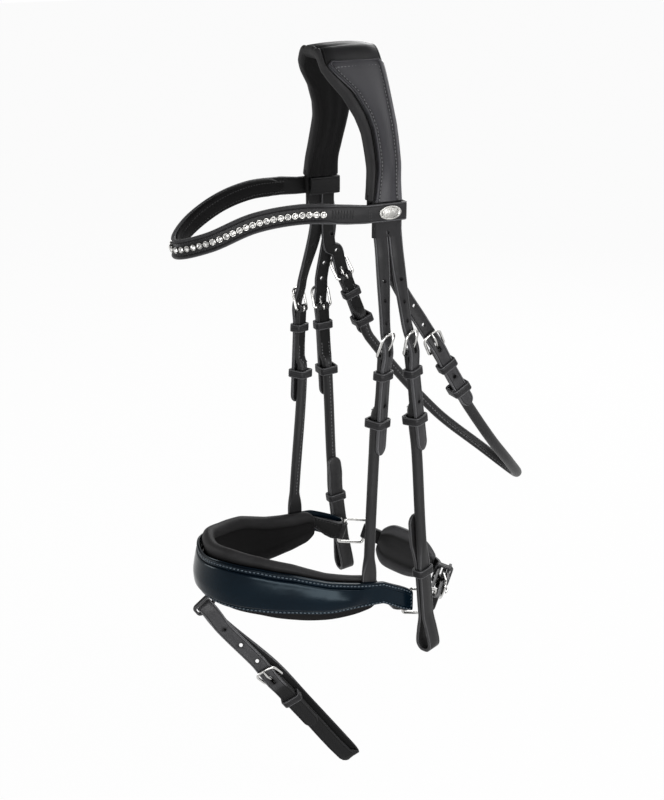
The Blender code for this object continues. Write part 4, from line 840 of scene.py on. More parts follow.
headpiece = {
    "padThick": 0.0080, "coverThick": 0.0024, "bandThick": 0.0034, "crownFlat": 0.0100, "browHalf": 0.0605,
    "browFront": 0.0,
    "inset": 0.0004, "gap": 0.0010, "padEnd": -0.1085, "slit": -0.1385, "steps": 8, "rollRise": 0.0054,
    "channel": 0.0015,
    "bandMargin": 0.0008, "coverMargin": 0.0012, "browRoll": 0.0032, "drift": 0.0030, "coverRow": 2,
    "coverUp": 1, "corner": 2, "frontRound": 0.0030, "rearRound": 0.0020,
    "crownRise": 0.0040, "crownFrom": 0.016, "crownTo": 0.034, "puff": 0.0016, "dent": 0.0017,
    "dentAt": 0.0085, "dentWide": 0.0024,
    "piping": 0.0016, "stitchIn": 0.0030, "rearStitchIn": 0.0050,
    "rows": (  # x and drop of the arch, front and rear of the pad, and how far its roll stands out
        (0.0000, 0.0000, -0.0275, 0.0285, 0.0060), (0.0125, 0.0006, -0.0280, 0.0290, 0.0055),
        (0.0215, 0.0115, -0.0262, 0.0296, 0.0034), (0.0265, 0.0195, -0.0222, 0.0300, 0.0054),
        (0.0335, 0.0325, -0.0125, 0.0303, 0.0076), (0.0410, 0.0490, -0.0045, 0.0306, 0.0072),
        (0.0465, 0.0625, -0.0010, 0.0307, 0.0066), (0.0560, 0.0880, -0.0008, 0.0292, 0.0058),
        (0.0588, 0.1010, -0.0020, 0.0277, 0.0045),
    ),
}
frontBilletY = headpiece["browFront"] + headpiece["inset"] + width / 2
rearBilletY = frontBilletY + width + headpiece["gap"]
browRear = rearBilletY + width / 2 + headpiece["inset"]
headMid = headpiece["browHalf"] + touch + headpiece["bandThick"] / 2
throatMid = headpiece["browHalf"] - thick / 2


def archFrames(stopZ):
    half = [(x, headpiece["padThick"] - drop, *edges) for x, drop, *edges in headpiece["rows"]]
    brow = (headpiece["browFront"] - headpiece["browRoll"], browRear + headpiece["bandMargin"],
            headpiece["browRoll"])
    half.append((headpiece["browHalf"] - touch, headpiece["padEnd"], *brow))
    if stopZ < headpiece["padEnd"]:
        half.append((headpiece["browHalf"], (headpiece["padEnd"] + browband["loopZ"]) / 2, *brow))
        half.append((headpiece["browHalf"], stopZ, *brow))
    rows = [(-row[0], *row[1:]) for row in half[:0:-1]] + half
    steps = [headpiece["steps"]] * (len(rows) - 1)
    ways = smoothLine([(row[0], 0, row[1]) for row in rows], steps)
    edges = smoothLine([row[2:] for row in rows], steps)
    frames = []
    for way, turn, (front, rear, rolled) in zip(ways, tangents(ways), edges):
        if abs(way.x) < headpiece["crownFlat"]:
            way.z, turn = headpiece["padThick"], xAxis
        band = Vector((front + rolled, rear - headpiece["bandMargin"], 0))
        cover = band + Vector((headpiece["coverMargin"], -headpiece["coverMargin"], 0))
        crown = 1 - ease((abs(way.x) - headpiece["crownFrom"])
                         / (headpiece["crownTo"] - headpiece["crownFrom"]))
        dent = math.exp(-((abs(way.x) - headpiece["dentAt"]) / headpiece["dentWide"]) ** 2)
        frames.append({"at": way, "out": turn.cross(yAxis), "along": turn, "pad": Vector((front, rear, 0)),
                       "band": band, "cover": cover,
                       "crown": crown, "dent": dent})
    return frames


def archSweep(frames, outline):
    bm = bmesh.new()
    sweep(bm, [[(f["at"] + yAxis * p[0] + f["out"] * p[1], p[2] if len(p) > 2 else 0.0)
                for p in outline(f)] for f in frames])
    return bm


def padOutline(f):
    front, rear = f["pad"].x, f["pad"].y
    seam = f["band"].x
    rolled = seam - front
    field = rear - seam
    crown, dip = f["crown"], headpiece["channel"]
    rise = mix(headpiece["rollRise"], headpiece["crownRise"], crown) - headpiece["dent"] * f["dent"]
    points = [(seam + 0.004, -0.0002), (seam - 0.0002, -0.0004), (seam - 0.0004, 0.5 * rise),
              (seam - 0.24 * rolled, 0.93 * rise),
              (front + 0.46 * rolled, rise), (front + 0.12 * rolled, 0.60 * rise), (front, -0.0008),
              (front + (0.08 + 0.22 * crown) * rolled, -0.0050 + 0.0008 * crown),
              (front + (0.50 + 0.30 * crown) * rolled, -0.0079 + 0.0012 * crown),
              (seam + 0.0010 * crown, -0.0064), (seam + 0.10 * field, -0.0080)]
    for share in (0.36, 0.68):
        points += [(seam + (share - 0.12) * field, -0.0080), (seam + share * field, -0.0080 + dip),
                   (seam + (share + 0.12) * field, -0.0080)]
    points += [(rear - 0.0030, -0.0078), (rear - 0.0004, -0.0058), (rear, -0.0035),
               (rear - 0.0012, -0.0008), (rear - 0.0045, -0.0002)]
    light = (0.0, 0.0, 0.3, 0.8, 1.0, 0.9, 0.7, 0.3)  # painted highlight along the roll
    return [(*p, light[i // 2] if i // 2 < len(light) else 0.0) for i, p in enumerate(softCurve(points, 2))]


def coverOutline(f):
    front, rear = f["cover"].x, f["cover"].y
    low = 2 * touch + headpiece["bandThick"]
    top = low + headpiece["coverThick"]
    back = headpiece["rearStitchIn"]
    # marks paint a highlight on the rolled edges and shade in the stitch grooves
    return softCurve([(front, low + 0.0006, 0.2), (front + 0.0002, top - 0.0003, 0.8),
                      (front + 0.0011, top + 0.0003, 0.9), (front + 0.0021, top - 0.0001, -0.4),
                      (front + 0.0032, top - 0.0003, -1), (front + 0.0046, top + 0.0001, 0),
                      ((front + rear) / 2, top + 0.0010, 0),
                      (rear - back - 0.0016, top + 0.0003, 0), (rear - back, top - 0.0005, -1),
                      (rear - back + 0.0016, top + 0.0002, 0.2),
                      (rear - 0.0009, top, 0.7), (rear, low + 0.0012, 0.4), (rear - 0.0006, low, 0),
                      ((front + rear) / 2, low, 0), (front + 0.0008, low, 0)], 3)


def coverFrames(frames, side):  # from the top seam, with its corners rounded, down to the browband
    reach = len(frames) // 2 - headpiece["coverRow"] * headpiece["steps"] + headpiece["coverUp"]
    made = []
    for k, f in enumerate(frames[-reach - 1:] if side > 0 else frames[reach::-1]):
        bend = max(0, 1 - k / headpiece["corner"]) ** 2
        made.append({**f, "cover": f["cover"]
                     + Vector((headpiece["frontRound"] * bend, -headpiece["rearRound"] * bend, 0))})
    return made


def bandOutline(f):
    front, rear = f["band"].x, f["band"].y
    middle, lift = (front + rear) / 2, touch + headpiece["bandThick"] / 2
    half = (rear - front) / 2
    points = strapOutline(2 * half, headpiece["bandThick"])
    points[7:8] = [(half * share, points[7][1], 0.0) for share in (0.6, 0.4, 0.2, 0, -0.2, -0.4, -0.6)]
    made = []
    for x, y, mark in points:
        swell = headpiece["puff"] * f["crown"] * (1 - (x / half) ** 2)
        swell -= headpiece["dent"] * f["dent"] * ease(0.7 - x / half)
        inPaintedGrooveShade = x < 0.005 - half  # beside the roll the edge lies in a groove and gets painted shade
        made.append((middle + x, lift + y + (swell if y > 0 else 0), -0.9 if inPaintedGrooveShade else mark))
    return made


def buildHeadpiece():
    short, long = archFrames(headpiece["padEnd"]), archFrames(headpiece["slit"])
    pad = makePiece("headpiecePad", archSweep(short, padOutline), "softLeather", "bridle",
                    ["headpiece_pad"])
    soften(pad)
    band = makePiece("headpieceBand", archSweep(long, bandOutline), "bridleLeather", "bridle",
                     ["headpiece_strap"])
    slits = bmesh.new()
    for side in sides:
        roundHoles(slits,
                   [Vector((side * headMid, (frontBilletY + rearBilletY) / 2, headpiece["slit"] + 0.0036))],
                   xAxis, 0.0032)
    punch(band, slits)
    low = 2 * touch + headpiece["bandThick"] + headpiece["coverThick"]
    seams = bmesh.new()
    for side, name in sides.items():
        half = coverFrames(short, side)
        makePiece(f"headpieceCover{name.capitalize()}", archSweep(half, coverOutline), "smoothLeather",
                  "bridle",
                  [f"headpiece_overlay_{name}"])
        inset = headpiece["stitchIn"]
        top = half[0]
        rim = [(f["at"] + yAxis * (f["cover"].x + 0.0004) + f["out"] * low, f["out"]) for f in half[::-1]]
        for k in range(1, 12):
            y = mix(top["cover"].x + 0.0004, top["cover"].y - 0.001, k / 11)
            rim.append((top["at"] + yAxis * y + top["out"] * (low + 0.0002) + top["along"] * side * 0.0006,
                        top["out"]))
        line = smoothLine([p for p, _ in rim], [1] * (len(rim) - 1))
        makePiece(f"headpiecePiping{name.capitalize()}", wireMesh([line], headpiece["piping"], False, 3),
                  "smoothLeather")
        row = [(f["at"] + yAxis * (f["cover"].x + inset) + f["out"] * (low - 0.0001), f["out"])
               for f in half[:3:-1]]
        lane = half[4]
        for k in range(1, 9):
            y = mix(lane["cover"].x + inset, lane["cover"].y - headpiece["rearStitchIn"], k / 8)
            row.append((lane["at"] + yAxis * y + lane["out"] * (low + 0.0006 * math.sin(math.pi * k / 8)),
                        lane["out"]))
        stitchRow(seams, row)
        stitchRow(seams,
                  [(f["at"] + yAxis * (f["cover"].y - headpiece["rearStitchIn"]) + f["out"]
                    * (low - 0.0003), f["out"]) for f in half[4:]])
        foot = [Vector((side * (headpiece["browHalf"] - 0.0015), headpiece["browFront"] - 0.0008,
                        headpiece["padEnd"] + z)) for z in (0.0055, 0.0, -0.0130)]
        makePiece(f"headpieceRollEnd{name.capitalize()}",
                  wireMesh([smoothLine(foot, [4, 6])], 0.0048, False, 5), "softLeather")
    makePiece("headpieceStitching", seams, "blackThreadWithPaintedSheen")
    print("headpiece built")


def billetHoles(bm, start, before, place, tail):
    end = place @ Vector((0, -billetLead, 0))
    way = smoothLine([before, start, end, place @ Vector((0, 0, overBar))], [1, 24, 1])[1:-1]
    shares = [1 - k * leatherCut["holePitch"] / (end - start).length for k in range(leatherCut["holes"])]
    places = [way[max(round(24 * share), 0)] for share in shares]
    places.append(place @ Vector((0, buckle["tailHole"] * tail, tailLift)))
    roundHoles(bm, places, place.col[2].xyz)


def buildBillets():
    slit, drift = headpiece["slit"], headpiece["drift"]
    for side, name in sides.items():
        for kind, y in (("hanger", frontBilletY), ("cheek", rearBilletY)):
            place = seatOf(kind, side)
            stops = [stop((side * headMid, y, slit + 0.010), -yAxis * side, width, thick),
                     stop((side * headMid, y + drift, slit - 0.016), -yAxis * side, width, thick, steps=5)]
            bm = strapMesh(stops + billetStops(place, width, buckle["tail"]))[0]
            billet = makePiece(f"{kind}Billet{name.capitalize()}", bm, "bridleLeather")
            holes = bmesh.new()
            prongSlot(holes, place)
            billetHoles(holes, stops[1]["at"], stops[0]["at"], place, buckle["tail"])
            punch(billet, holes)
        place = seatOf("throat", side)
        y = rearBilletY - headpiece["gap"]
        stops = []
        for out, back, z, steps in ((0, 0, headpiece["padEnd"] - 0.010, 1), (0, 0, slit - 0.010, 2),
                                    (0.0020, drift, slit - 0.036, 3)):
            stops.append(stop((side * (throatMid + out), y + back, z), -yAxis * side, width, thick,
                              steps=steps))
        bm = strapMesh(stops + billetStops(place, width, buckle["throatTail"]))[0]
        billet = makePiece(f"throatBillet{name.capitalize()}", bm, "bridleLeather", "bridle",
                           [f"throat_billet_{name}"])
        holes = bmesh.new()
        prongSlot(holes, place)
        billetHoles(holes, stops[1]["at"], stops[0]["at"], place, buckle["throatTail"])
        punch(billet, holes)
    print("billets built")


# browband

browband = {
    "depth": 0.0165, "loopDepth": 0.0155, "loopZ": -0.1172, "foldRadius": 0.0018, "lap": 0.0100,
    "lining": 0.0040, "margin": 0.0010,
    "steps": 14, "ridge": 0.0009, "ridgeWide": 0.0034, "stones": 47, "pitch": 0.0058, "cup": 0.00255,
    "cupDeep": 0.0019, "crown": 0.0013,
    "ribs": {"first": 58, "last": 65}, "ribPitch": 0.0024, "badgeLong": 0.0200, "badgeTall": 0.0115,
    "badgeThick": 0.0016,
    "line": ((0.0655, -0.0240, -0.1158), (0.0540, -0.0600, -0.1145), (0.0410, -0.0960, -0.1208),
             (0.0270, -0.1300, -0.1359),
             (0.0000, -0.1490, -0.1450)),
}


def browFront():
    half = [Vector(row) for row in browband["line"]]
    far = [Vector((-p.x, p.y, p.z)) for p in half[:-1]]
    return smoothLine(half + far[::-1], [browband["steps"]] * (2 * len(far)))


def browOffset(line, distance):
    return [p + Vector((-t.y, t.x, 0)).normalized() * distance for p, t in zip(line, tangents(line))]


def browLoop(side):
    inner = throatMid - thick - play
    outer = headMid + headpiece["bandThick"] / 2 + play + thick / 2
    front, rear = headpiece["browFront"], browRear + play + thick / 2
    bend, lap = browband["foldRadius"], browband["lap"]
    line = smoothLine([(inner, front + 0.1 * lap, 0), (inner, front + lap, 0)], [6])
    for x, way in ((inner, 1), (outer, -1)):
        for k in range(9)[::way]:
            angle = math.pi / 16 * k
            line.append(Vector((x + way * bend * (1 - math.cos(angle)), rear - bend * (1 - math.sin(angle)),
                                0)))
    line += smoothLine([(outer, front + lap, 0), (outer, front - 0.8 * lap, 0)], [6])
    return [Vector((side * p.x, p.y, browband["loopZ"])) for p in line]


def pipedOutline(wide, deep):  # two padded ridges beside the channel that holds the stones; marks paint a highlight on the ridges and the edges
    half, top, rise, broad = wide / 2, deep / 2, browband["ridge"], browband["ridgeWide"]
    quarter = [(half - 0.0001, top - 0.0004, 0.6), (half - 0.0005, top + 0.45 * rise, 0.6),
               (half - 0.38 * broad, top + rise, 0.3),
               (half - 0.75 * broad, top + 0.45 * rise, 0.0), (half - broad, top - 0.0004, 0.0),
               (half - 1.15 * broad, top - 0.0002, 0.0)]
    back = strapOutline(wide, deep)
    points = [(half, 0, 0.8), *quarter, (0, top - 0.0001, 0.0)] + [(-x, y, m) for x, y, m in quarter[::-1]]
    return points + [(-half, 0, 0.8)] + back[15:]


def buildBrowband():
    near, far, front = browLoop(1), browLoop(-1), browFront()
    line = near + front + far[::-1]
    deep = [browband["loopDepth"]] * len(near) + [browband["depth"]] * len(front)
    deep += [browband["loopDepth"]] * len(far)
    rings = []
    for i, (point, along) in enumerate(zip(line, tangents(line))):
        side = (zAxis - zAxis.dot(along) * along).normalized()
        share = ease(min(i - len(near) - 2, len(near) + len(front) - 3 - i) / 6)
        flat, piped = strapOutline(deep[i], thick), pipedOutline(deep[i], thick)
        inLoop = abs(point.x) < headMid - thick and point.y > headpiece["browFront"]
        # the inner part of each loop gets painted shade
        dullAndPaintedShade = 0.8 if inLoop else 0.0
        ring = []
        for (x, y, mark), (px, py, pmark) in zip(flat, piped):
            ring.append((point + side * mix(x, px, share) + side.cross(along) * mix(y, py, share),
                         mix(mark, pmark, share) - dullAndPaintedShade))
        rings.append(ring)
    bm = bmesh.new()
    sweep(bm, rings)
    makePiece("browbandStrap", bm, "bridleLeather", "browband", ["browband_strap"])
    inside = browOffset(front, -(thick + browband["lining"]) / 2 - touch)
    tall = browband["depth"] - 2 * browband["margin"]
    soft = browband["lining"]
    outline = softCurve([(tall / 2 - 0.0002, 0.5 * soft), (tall / 2 + 0.0006, 0.1 * soft),
                         (tall / 2 - 0.0010, -0.44 * soft), (tall / 2 - 0.0028, -0.36 * soft),
                         (tall / 2 - 0.0042, -0.48 * soft), (0, -0.56 * soft),
                         (-tall / 2 + 0.0042, -0.48 * soft), (-tall / 2 + 0.0028, -0.36 * soft),
                         (-tall / 2 + 0.0010, -0.44 * soft), (-tall / 2 - 0.0006, 0.1 * soft),
                         (-tall / 2 + 0.0002, 0.5 * soft), (0, 0.5 * soft)], 3)
    bm, seams = bmesh.new(), bmesh.new()
    rings, rows = [], {sign: [] for sign in (1, -1)}
    for i, (point, along) in enumerate(zip(inside, tangents(inside))):
        side = (zAxis - zAxis.dot(along) * along).normalized()
        out = side.cross(along)
        close = 0.25 + 0.75 * ease((min(i, len(inside) - 1 - i) + 1) / 7)
        rings.append([(point + side * p.x * close + out * p.y * close, 0.0) for p in outline])
        for sign, row in rows.items():
            row.append((point + side * sign * (tall / 2 - 0.0028) - out * 0.38 * soft, -out))
    sweep(bm, rings)
    lining = makePiece("browbandLining", bm, "softLeather", "browband", ["browband_lining"])
    for row in rows.values():
        stitchRow(seams, row)
    faceRows = {sign: [] for sign in (1, -1)}
    for point, along in list(zip(front, tangents(front)))[8:-8]:
        side = (zAxis - zAxis.dot(along) * along).normalized()
        out = side.cross(along)
        for sign, row in faceRows.items():
            row.append((point + side * sign * (browband["depth"] / 2 - 1.12 * browband["ridgeWide"]) + out
                        * (thick / 2 - 0.0002), out))
    for row in faceRows.values():
        stitchRow(seams, row, 0.0027, (0.0020, 0.0007, 0.0006))
    ribs = bmesh.new()
    count = browband["ribs"]
    for k, (point, along) in enumerate(evenPoints(line, browband["ribPitch"], 2 * count["last"] + 1)):
        if count["first"] <= abs(k - count["last"]) <= count["last"]:
            side = (zAxis - zAxis.dot(along) * along).normalized()
            out = side.cross(along)
            turn = Matrix((along, side, out)).transposed().to_4x4()
            turn.translation = point + out * (thick / 2 - 0.0001)
            size = Matrix.Diagonal((0.0007, 0.0042, 0.0007, 1))
            bmesh.ops.create_icosphere(ribs, subdivisions=2, radius=1, matrix=turn @ size)
    makePiece("browbandRibs", ribs, "bridleLeather", "browband")
    outer = headMid + headpiece["bandThick"] / 2 + play + thick
    for side in sides:  # the sewn end of each loop
        for y in (-0.0035, -0.0052):
            row = [(Vector((side * outer, y, browband["loopZ"] + z)), xAxis * side)
                   for z in (-0.0058, 0.0058)]
            stitchRow(seams, row, 0.0024, (0.0019, 0.0008, 0.0007))
    makePiece("browbandStitching", seams, "darkThread", "browband")
    print("browband built")


def evenPoints(line, pitch, count):
    reach = [0.0]
    for a, b in zip(line, line[1:]):
        reach.append(reach[-1] + (b - a).length)
    found = []
    for k in range(count):
        want = reach[-1] / 2 + pitch * (k - (count - 1) / 2)
        i = max(j for j in range(len(reach) - 1) if reach[j] <= want)
        found.append((line[i].lerp(line[i + 1], (want - reach[i]) / (reach[i + 1] - reach[i])),
                      (line[i + 1] - line[i]).normalized()))
    return found


def buildStones():
    cups, stones = bmesh.new(), bmesh.new()
    paintedLight = stones.faces.layers.float.new("paintedFacetGlint")
    cup, deep, crown = browband["cup"], browband["cupDeep"], browband["crown"]
    for point, along in evenPoints(browOffset(browFront(), thick / 2 + 0.0001), browband["pitch"],
                                   browband["stones"]):
        side = (zAxis - zAxis.dot(along) * along).normalized()
        out = side.cross(along)
        turn = Matrix((along, side, along.cross(side))).transposed().to_4x4()
        if along.cross(side).dot(out) < 0:
            turn = Matrix((-along, side, out)).transposed().to_4x4()
        turn.translation = point
        bmesh.ops.create_cone(cups, cap_ends=True, segments=14, radius1=0.86 * cup, radius2=cup, depth=deep,
                              matrix=turn @ Matrix.Translation((0, 0, deep / 2)))
        for k in range(4):  # claws that hold the stone
            angle = math.radians(45 + 90 * k)
            at = turn @ Matrix.Translation((0.86 * cup * math.cos(angle), 0.86 * cup * math.sin(angle),
                                            deep + 0.15 * crown))
            bmesh.ops.create_icosphere(cups, subdivisions=1, radius=0.16 * cup, matrix=at)
        spin = Matrix.Rotation(dice.uniform(0, math.pi), 4, "Z")
        made = bmesh.ops.create_cone(stones, cap_ends=True, segments=8, radius1=0.86 * cup,
                                     radius2=0.62 * cup, depth=0.5 * crown,
                                     matrix=turn @ Matrix.Translation((0, 0, deep + 0.15 * crown))
                                     @ spin)["verts"]
        made += bmesh.ops.create_cone(stones, cap_ends=True, segments=8, radius1=0.62 * cup,
                                      radius2=0.36 * cup, depth=0.42 * crown,
                                      matrix=turn @ Matrix.Translation((0, 0, deep + 0.61 * crown)) @ spin
                                      @ Matrix.Rotation(math.pi / 8, 4, "Z"))["verts"]
        # each facet gets a random painted reflection between dark and bright
        for face in {f for v in made for f in v.link_faces}:
            face[paintedLight] = dice.choice((0.15, 0.55, 0.8, 1.0, 1.0))
    makePiece("browbandCups", cups, "agedSilver", "browband", (), 30)
    makePiece("browbandStones", stones, "clearCrystal", "browband", ["browband_crystals"], 5)
    print("stones set")


def buildBadge():
    face = headMid + headpiece["bandThick"] / 2 + play + thick
    bm = bmesh.new()
    plate = bmesh.ops.create_circle(bm, cap_ends=True, segments=56, radius=0.5)["verts"]
    top = plate[0].link_faces[0]
    grown = bmesh.ops.extrude_face_region(bm, geom=[top])["geom"]
    top = next(g for g in grown if isinstance(g, bmesh.types.BMFace))
    bmesh.ops.translate(bm, verts=top.verts, vec=(0, 0, 1))
    bmesh.ops.bevel(bm, geom=list(top.edges), offset=0.06, segments=3, profile=0.5, affect="EDGES",
                    material=-1)
    top = max(bm.faces, key=lambda f: f.calc_center_median().z * f.calc_area())
    for thin, drop in ((0.045, 0.0), (0.03, -0.34), (0.10, 0.10), (0.12, 0.10), (0.08, 0.04)):
        bmesh.ops.inset_region(bm, faces=[top], thickness=thin, depth=0)
        bmesh.ops.translate(bm, verts=top.verts, vec=(0, 0, drop))
    bmesh.ops.scale(bm, verts=bm.verts,
                    vec=(browband["badgeLong"], browband["badgeTall"], browband["badgeThick"]))
    turn = Matrix((yAxis, zAxis, xAxis)).transposed().to_4x4()
    turn.translation = Vector((face, (headpiece["browFront"] + browRear) / 2, browband["loopZ"]))
    bmesh.ops.transform(bm, matrix=turn, verts=bm.verts)
    makePiece("browbandBadge", bm, "agedSilver", "browband", ["browband_badge"], 45)
    print("badge built")


# hangers and cheeks

bitEnd = {"width": 0.0140, "gap": 0.0110, "loop": 0.0300, "plate": 0.0008, "wire": 0.0024, "hook": 0.0085,
          "studShare": 0.62, "keeperShare": 0.30,
          "twist": {1: math.radians(20), -1: 0.0}, "tail": {1: 0.0240, -1: 0.0140}}
legGap = bitEnd["plate"] + 2 * touch
footDepth, footWidth, noseThick = 0.0083, 0.0142, 0.0030


def buildHanger(side):
    name = sides[side]
    place = seatOf("hanger", side)
    foot = Vector(routes["hangerFoot"][side])
    stops = chapeStops(place, chapeWidth, buckle["chape"], 2) + [rollStart(place)]
    stops.append(rollStop(place @ Vector((0, buckle["runnerAt"] + buckle["rollReach"], rollLift)),
                          across(place), 4))
    stops.append(rollStop(foot + zAxis * 0.020, yAxis * -side, 3))
    stops.append(stop(foot, yAxis * -side, footWidth, noseThick))
    stops.append(stop(foot - zAxis * footDepth, yAxis * -side, footWidth, noseThick))
    bm, frames = strapMesh(stops)
    foldEye(bm, place, chapeWidth, eyeBore, buckle["layer"], True)
    makePiece(f"noseHanger{name.capitalize()}", bm, "rolledLeather", "bridle", [f"noseband_hanger_{name}"])
    seams = bmesh.new()
    edgeStitches(seams, frames[3:11])
    seamStitches(seams, frames)
    makePiece(f"noseHangerStitching{name.capitalize()}", seams, "blackThreadWithPaintedSheen")
    fittings("hanger", side, place)


def bitFrame(side):
    out = xAxis * side * math.cos(bitEnd["twist"][side]) + yAxis * math.sin(bitEnd["twist"][side])
    end = Vector(routes["cheekEnd"][side])
    return seat(end, Vector(routes["bitBottom"][side]) - end, out)


def bitLength(side):
    return (Vector(routes["bitBottom"][side]) - Vector(routes["cheekEnd"][side])).length


def bitLoopStops(side):
    place, length = bitFrame(side), bitLength(side)
    inner = -thick - legGap
    beside = 0.5 * rollLift - 0.5 * roll - 0.5 * thick - play
    middle, swell = inner / 2, (bitEnd["gap"] + thick) / 2
    low = length - thick / 2
    neck = low - bitEnd["loop"]
    bend = low - 0.8 * swell
    opening = neck + 0.35 * bitEnd["loop"]
    table = ((bitEnd["keeperShare"] * neck, 0, 1), (neck - 0.012, 0, 1), (neck - 0.004, 0, 2),
             (opening, middle + 0.75 * swell, 2), (bend, middle + swell, 2),
             (low - 0.10 * swell, middle + 0.55 * swell, 1), (low, middle, 1),
             (low - 0.10 * swell, middle - 0.55 * swell, 2),
             (bend, middle - swell, 2), (opening, middle - 0.75 * swell, 2), (neck - 0.004, inner, 1),
             (neck - 0.012, inner, 1),
             (0.22 * neck, inner, 1), (0.04 * neck, 0.5 * (inner + beside), 1), (-0.5 * roll, beside, 1),
             (-bitEnd["tail"][side], beside, 1))
    stops = [stop(place @ Vector((0, u, n)), across(place), bitEnd["width"], thick, steps=steps) for u, n,
             steps in table]
    stops[-1]["steps"] = 1
    return stops + roundTip(stops[-1]["at"], -place.col[1].xyz, across(place), bitEnd["width"], thick)


def buildCheek(side):
    name = sides[side]
    place, low = seatOf("cheek", side), bitFrame(side)
    stops = chapeStops(place, chapeWidth, buckle["chape"], 2) + [rollStart(place)]
    stops.append(rollStop(place @ Vector((0, buckle["runnerAt"] + buckle["rollReach"], rollLift)),
                          across(place), 4))
    stops.append(rollStop(low @ Vector((0, -0.012, rollLift / 2)), across(low), 2))
    bm, frames = strapMesh(stops + bitLoopStops(side))
    foldEye(bm, place, chapeWidth, eyeBore, buckle["layer"], True)
    makePiece(f"bitCheek{name.capitalize()}", bm, "rolledLeather", "bridle", [f"bit_cheek_{name}"])
    neck = bitLength(side) - bitEnd["loop"]
    seams = bmesh.new()
    edgeStitches(seams, frames[3:11])
    seamStitches(seams, frames)
    makePiece(f"bitCheekStitching{name.capitalize()}", seams, "blackThreadWithPaintedSheen")
    fittings("cheek", side, place)
    keeperPiece(f"bitKeeper{name.capitalize()}", low, bitEnd["keeperShare"] * neck,
                -1.5 * thick - legGap - touch, thick / 2 + touch,
                bitEnd["width"] + 2 * touch, "bridle", f"bit_keeper_{name}")
    buildStud(name, low @ Matrix.Translation((0, bitEnd["studShare"] * neck, 0)))


def buildStud(name, place):
    face = -thick / 2 - touch
    back = face - bitEnd["plate"]
    far = -1.5 * thick - legGap - touch - bitEnd["wire"] / 2
    line = smoothLine([(0, 0, back), (0, 0, far + 0.5 * bitEnd["wire"]), (0, 0.35 * bitEnd["wire"], far),
                       (0, bitEnd["hook"], far - 0.4 * bitEnd["wire"])], [3, 5, 8])
    bm = wireMesh([[place @ p for p in line]], bitEnd["wire"], False, 4)
    bmesh.ops.create_icosphere(bm, subdivisions=2, radius=0.62 * bitEnd["wire"],
                               matrix=Matrix.Translation(place @ line[-1]))
    plateRadius = 0.36 * bitEnd["width"]
    bmesh.ops.create_cone(bm, cap_ends=True, segments=24, radius1=plateRadius, radius2=plateRadius,
                          depth=bitEnd["plate"],
                          matrix=place @ Matrix.Translation((0, 0, (face + back) / 2)))
    makePiece(f"bitStud{name.capitalize()}", bm, "brightSteel", "bridle", [f"bit_stud_{name}"], 50)


# throatlash

def buildThroatlash():
    near, far = seatOf("throat", 1), seatOf("throat", -1)
    chape, runner = buckle["throatChape"], buckle["throatRunnerAt"]
    stops = chapeStops(near, chapeWidth, chape, 2) + [rollStart(near, 1, chape)]
    stops.append(rollStop(near @ Vector((0, runner + buckle["throatReach"], rollLift)), across(near), 3))
    stops += [rollStop(point, -zAxis, 3) for point in routes["throatLoop"]]
    end = [rollStop(far @ Vector((0, runner + buckle["throatReach"], rollLift)), -across(far)),
           rollStart(far, 2, chape)]
    end += chapeStops(far, chapeWidth, chape)[::-1]
    for item in end:
        item["side"] = -across(far)
    bm, frames = strapMesh(stops + end)
    foldEye(bm, near, chapeWidth, eyeBore, buckle["layer"], True)
    foldEye(bm, far, chapeWidth, eyeBore, buckle["layer"], True)
    makePiece("throatlash", bm, "rolledLeather", "bridle", ["throatlash"])
    seams = bmesh.new()
    edgeStitches(seams, frames[3:11])
    edgeStitches(seams, frames[-4:-1])
    seamStitches(seams, frames)
    makePiece("throatlashStitching", seams, "blackThreadWithPaintedSheen")
    for side in sides:
        fittings("throat", side, seatOf("throat", side), runner)
    print("throatlash built")


# noseband

noseband = {
    "strap": 0.0030, "edge": 0.0026, "crown": 0.0040, "lining": 0.0100, "tab": 0.0180, "steps": 8,
    "flange": 0.0052, "lowFlange": 0.0034,
    "crownFrom": -0.026, "crownTo": -0.002, "stitch": (0.0028, 0.0014, 0.0011),
    "rows": (  # x and y of the wall, heights of the panel and the lining, and the far side's lift
        (0.0000, -0.1300, -0.424, -0.462, -0.413, -0.463, 0.0000),
        (0.0290, -0.1225, -0.421, -0.462, -0.411, -0.467, -0.0015),
        (0.0500, -0.1010, -0.423, -0.463, -0.415, -0.470, -0.0030),
        (0.0630, -0.0740, -0.429, -0.465, -0.422, -0.475, 0.0005),
        (0.0695, -0.0440, -0.439, -0.469, -0.434, -0.479, 0.0035),
        (0.0712, -0.0180, -0.445, -0.469, -0.441, -0.479, 0.0075),
        (0.0712, 0.0080, -0.449, -0.470, -0.446, -0.476, 0.0110),
        (0.0690, 0.0305, -0.4605, -0.4825, -0.4555, -0.4825, 0.0140),
        (0.0672, 0.0400, -0.4670, -0.4865, -0.4600, -0.4865, 0.0150)),
}
ring = {"wire": 0.0030, "length": 0.0280, "height": 0.0250, "halfSpan": 0.0655, "frontY": 0.0375,
        "z": -0.4700,
        "slope": math.radians(15), "roll": math.radians(7.5)}
ringBore = ring["wire"] / 2 + touch


def chinFrame():  # x to the near side and a little down, y to the rear, z along the ring bars
    near = Vector((math.cos(ring["roll"]), 0, -math.sin(ring["roll"])))
    rear = Vector((0, math.cos(ring["slope"]), -math.sin(ring["slope"])))
    rear = (rear - rear.dot(near) * near).normalized()
    made = Matrix((near, rear, near.cross(rear))).transposed().to_4x4()
    made.translation = Vector((0, ring["frontY"], ring["z"]))
    return made


def ringSeat(side):
    place = chinFrame()
    return seat(place @ Vector((side * ring["halfSpan"], 0, 0)), -place.col[1].xyz, place.col[0].xyz * side)


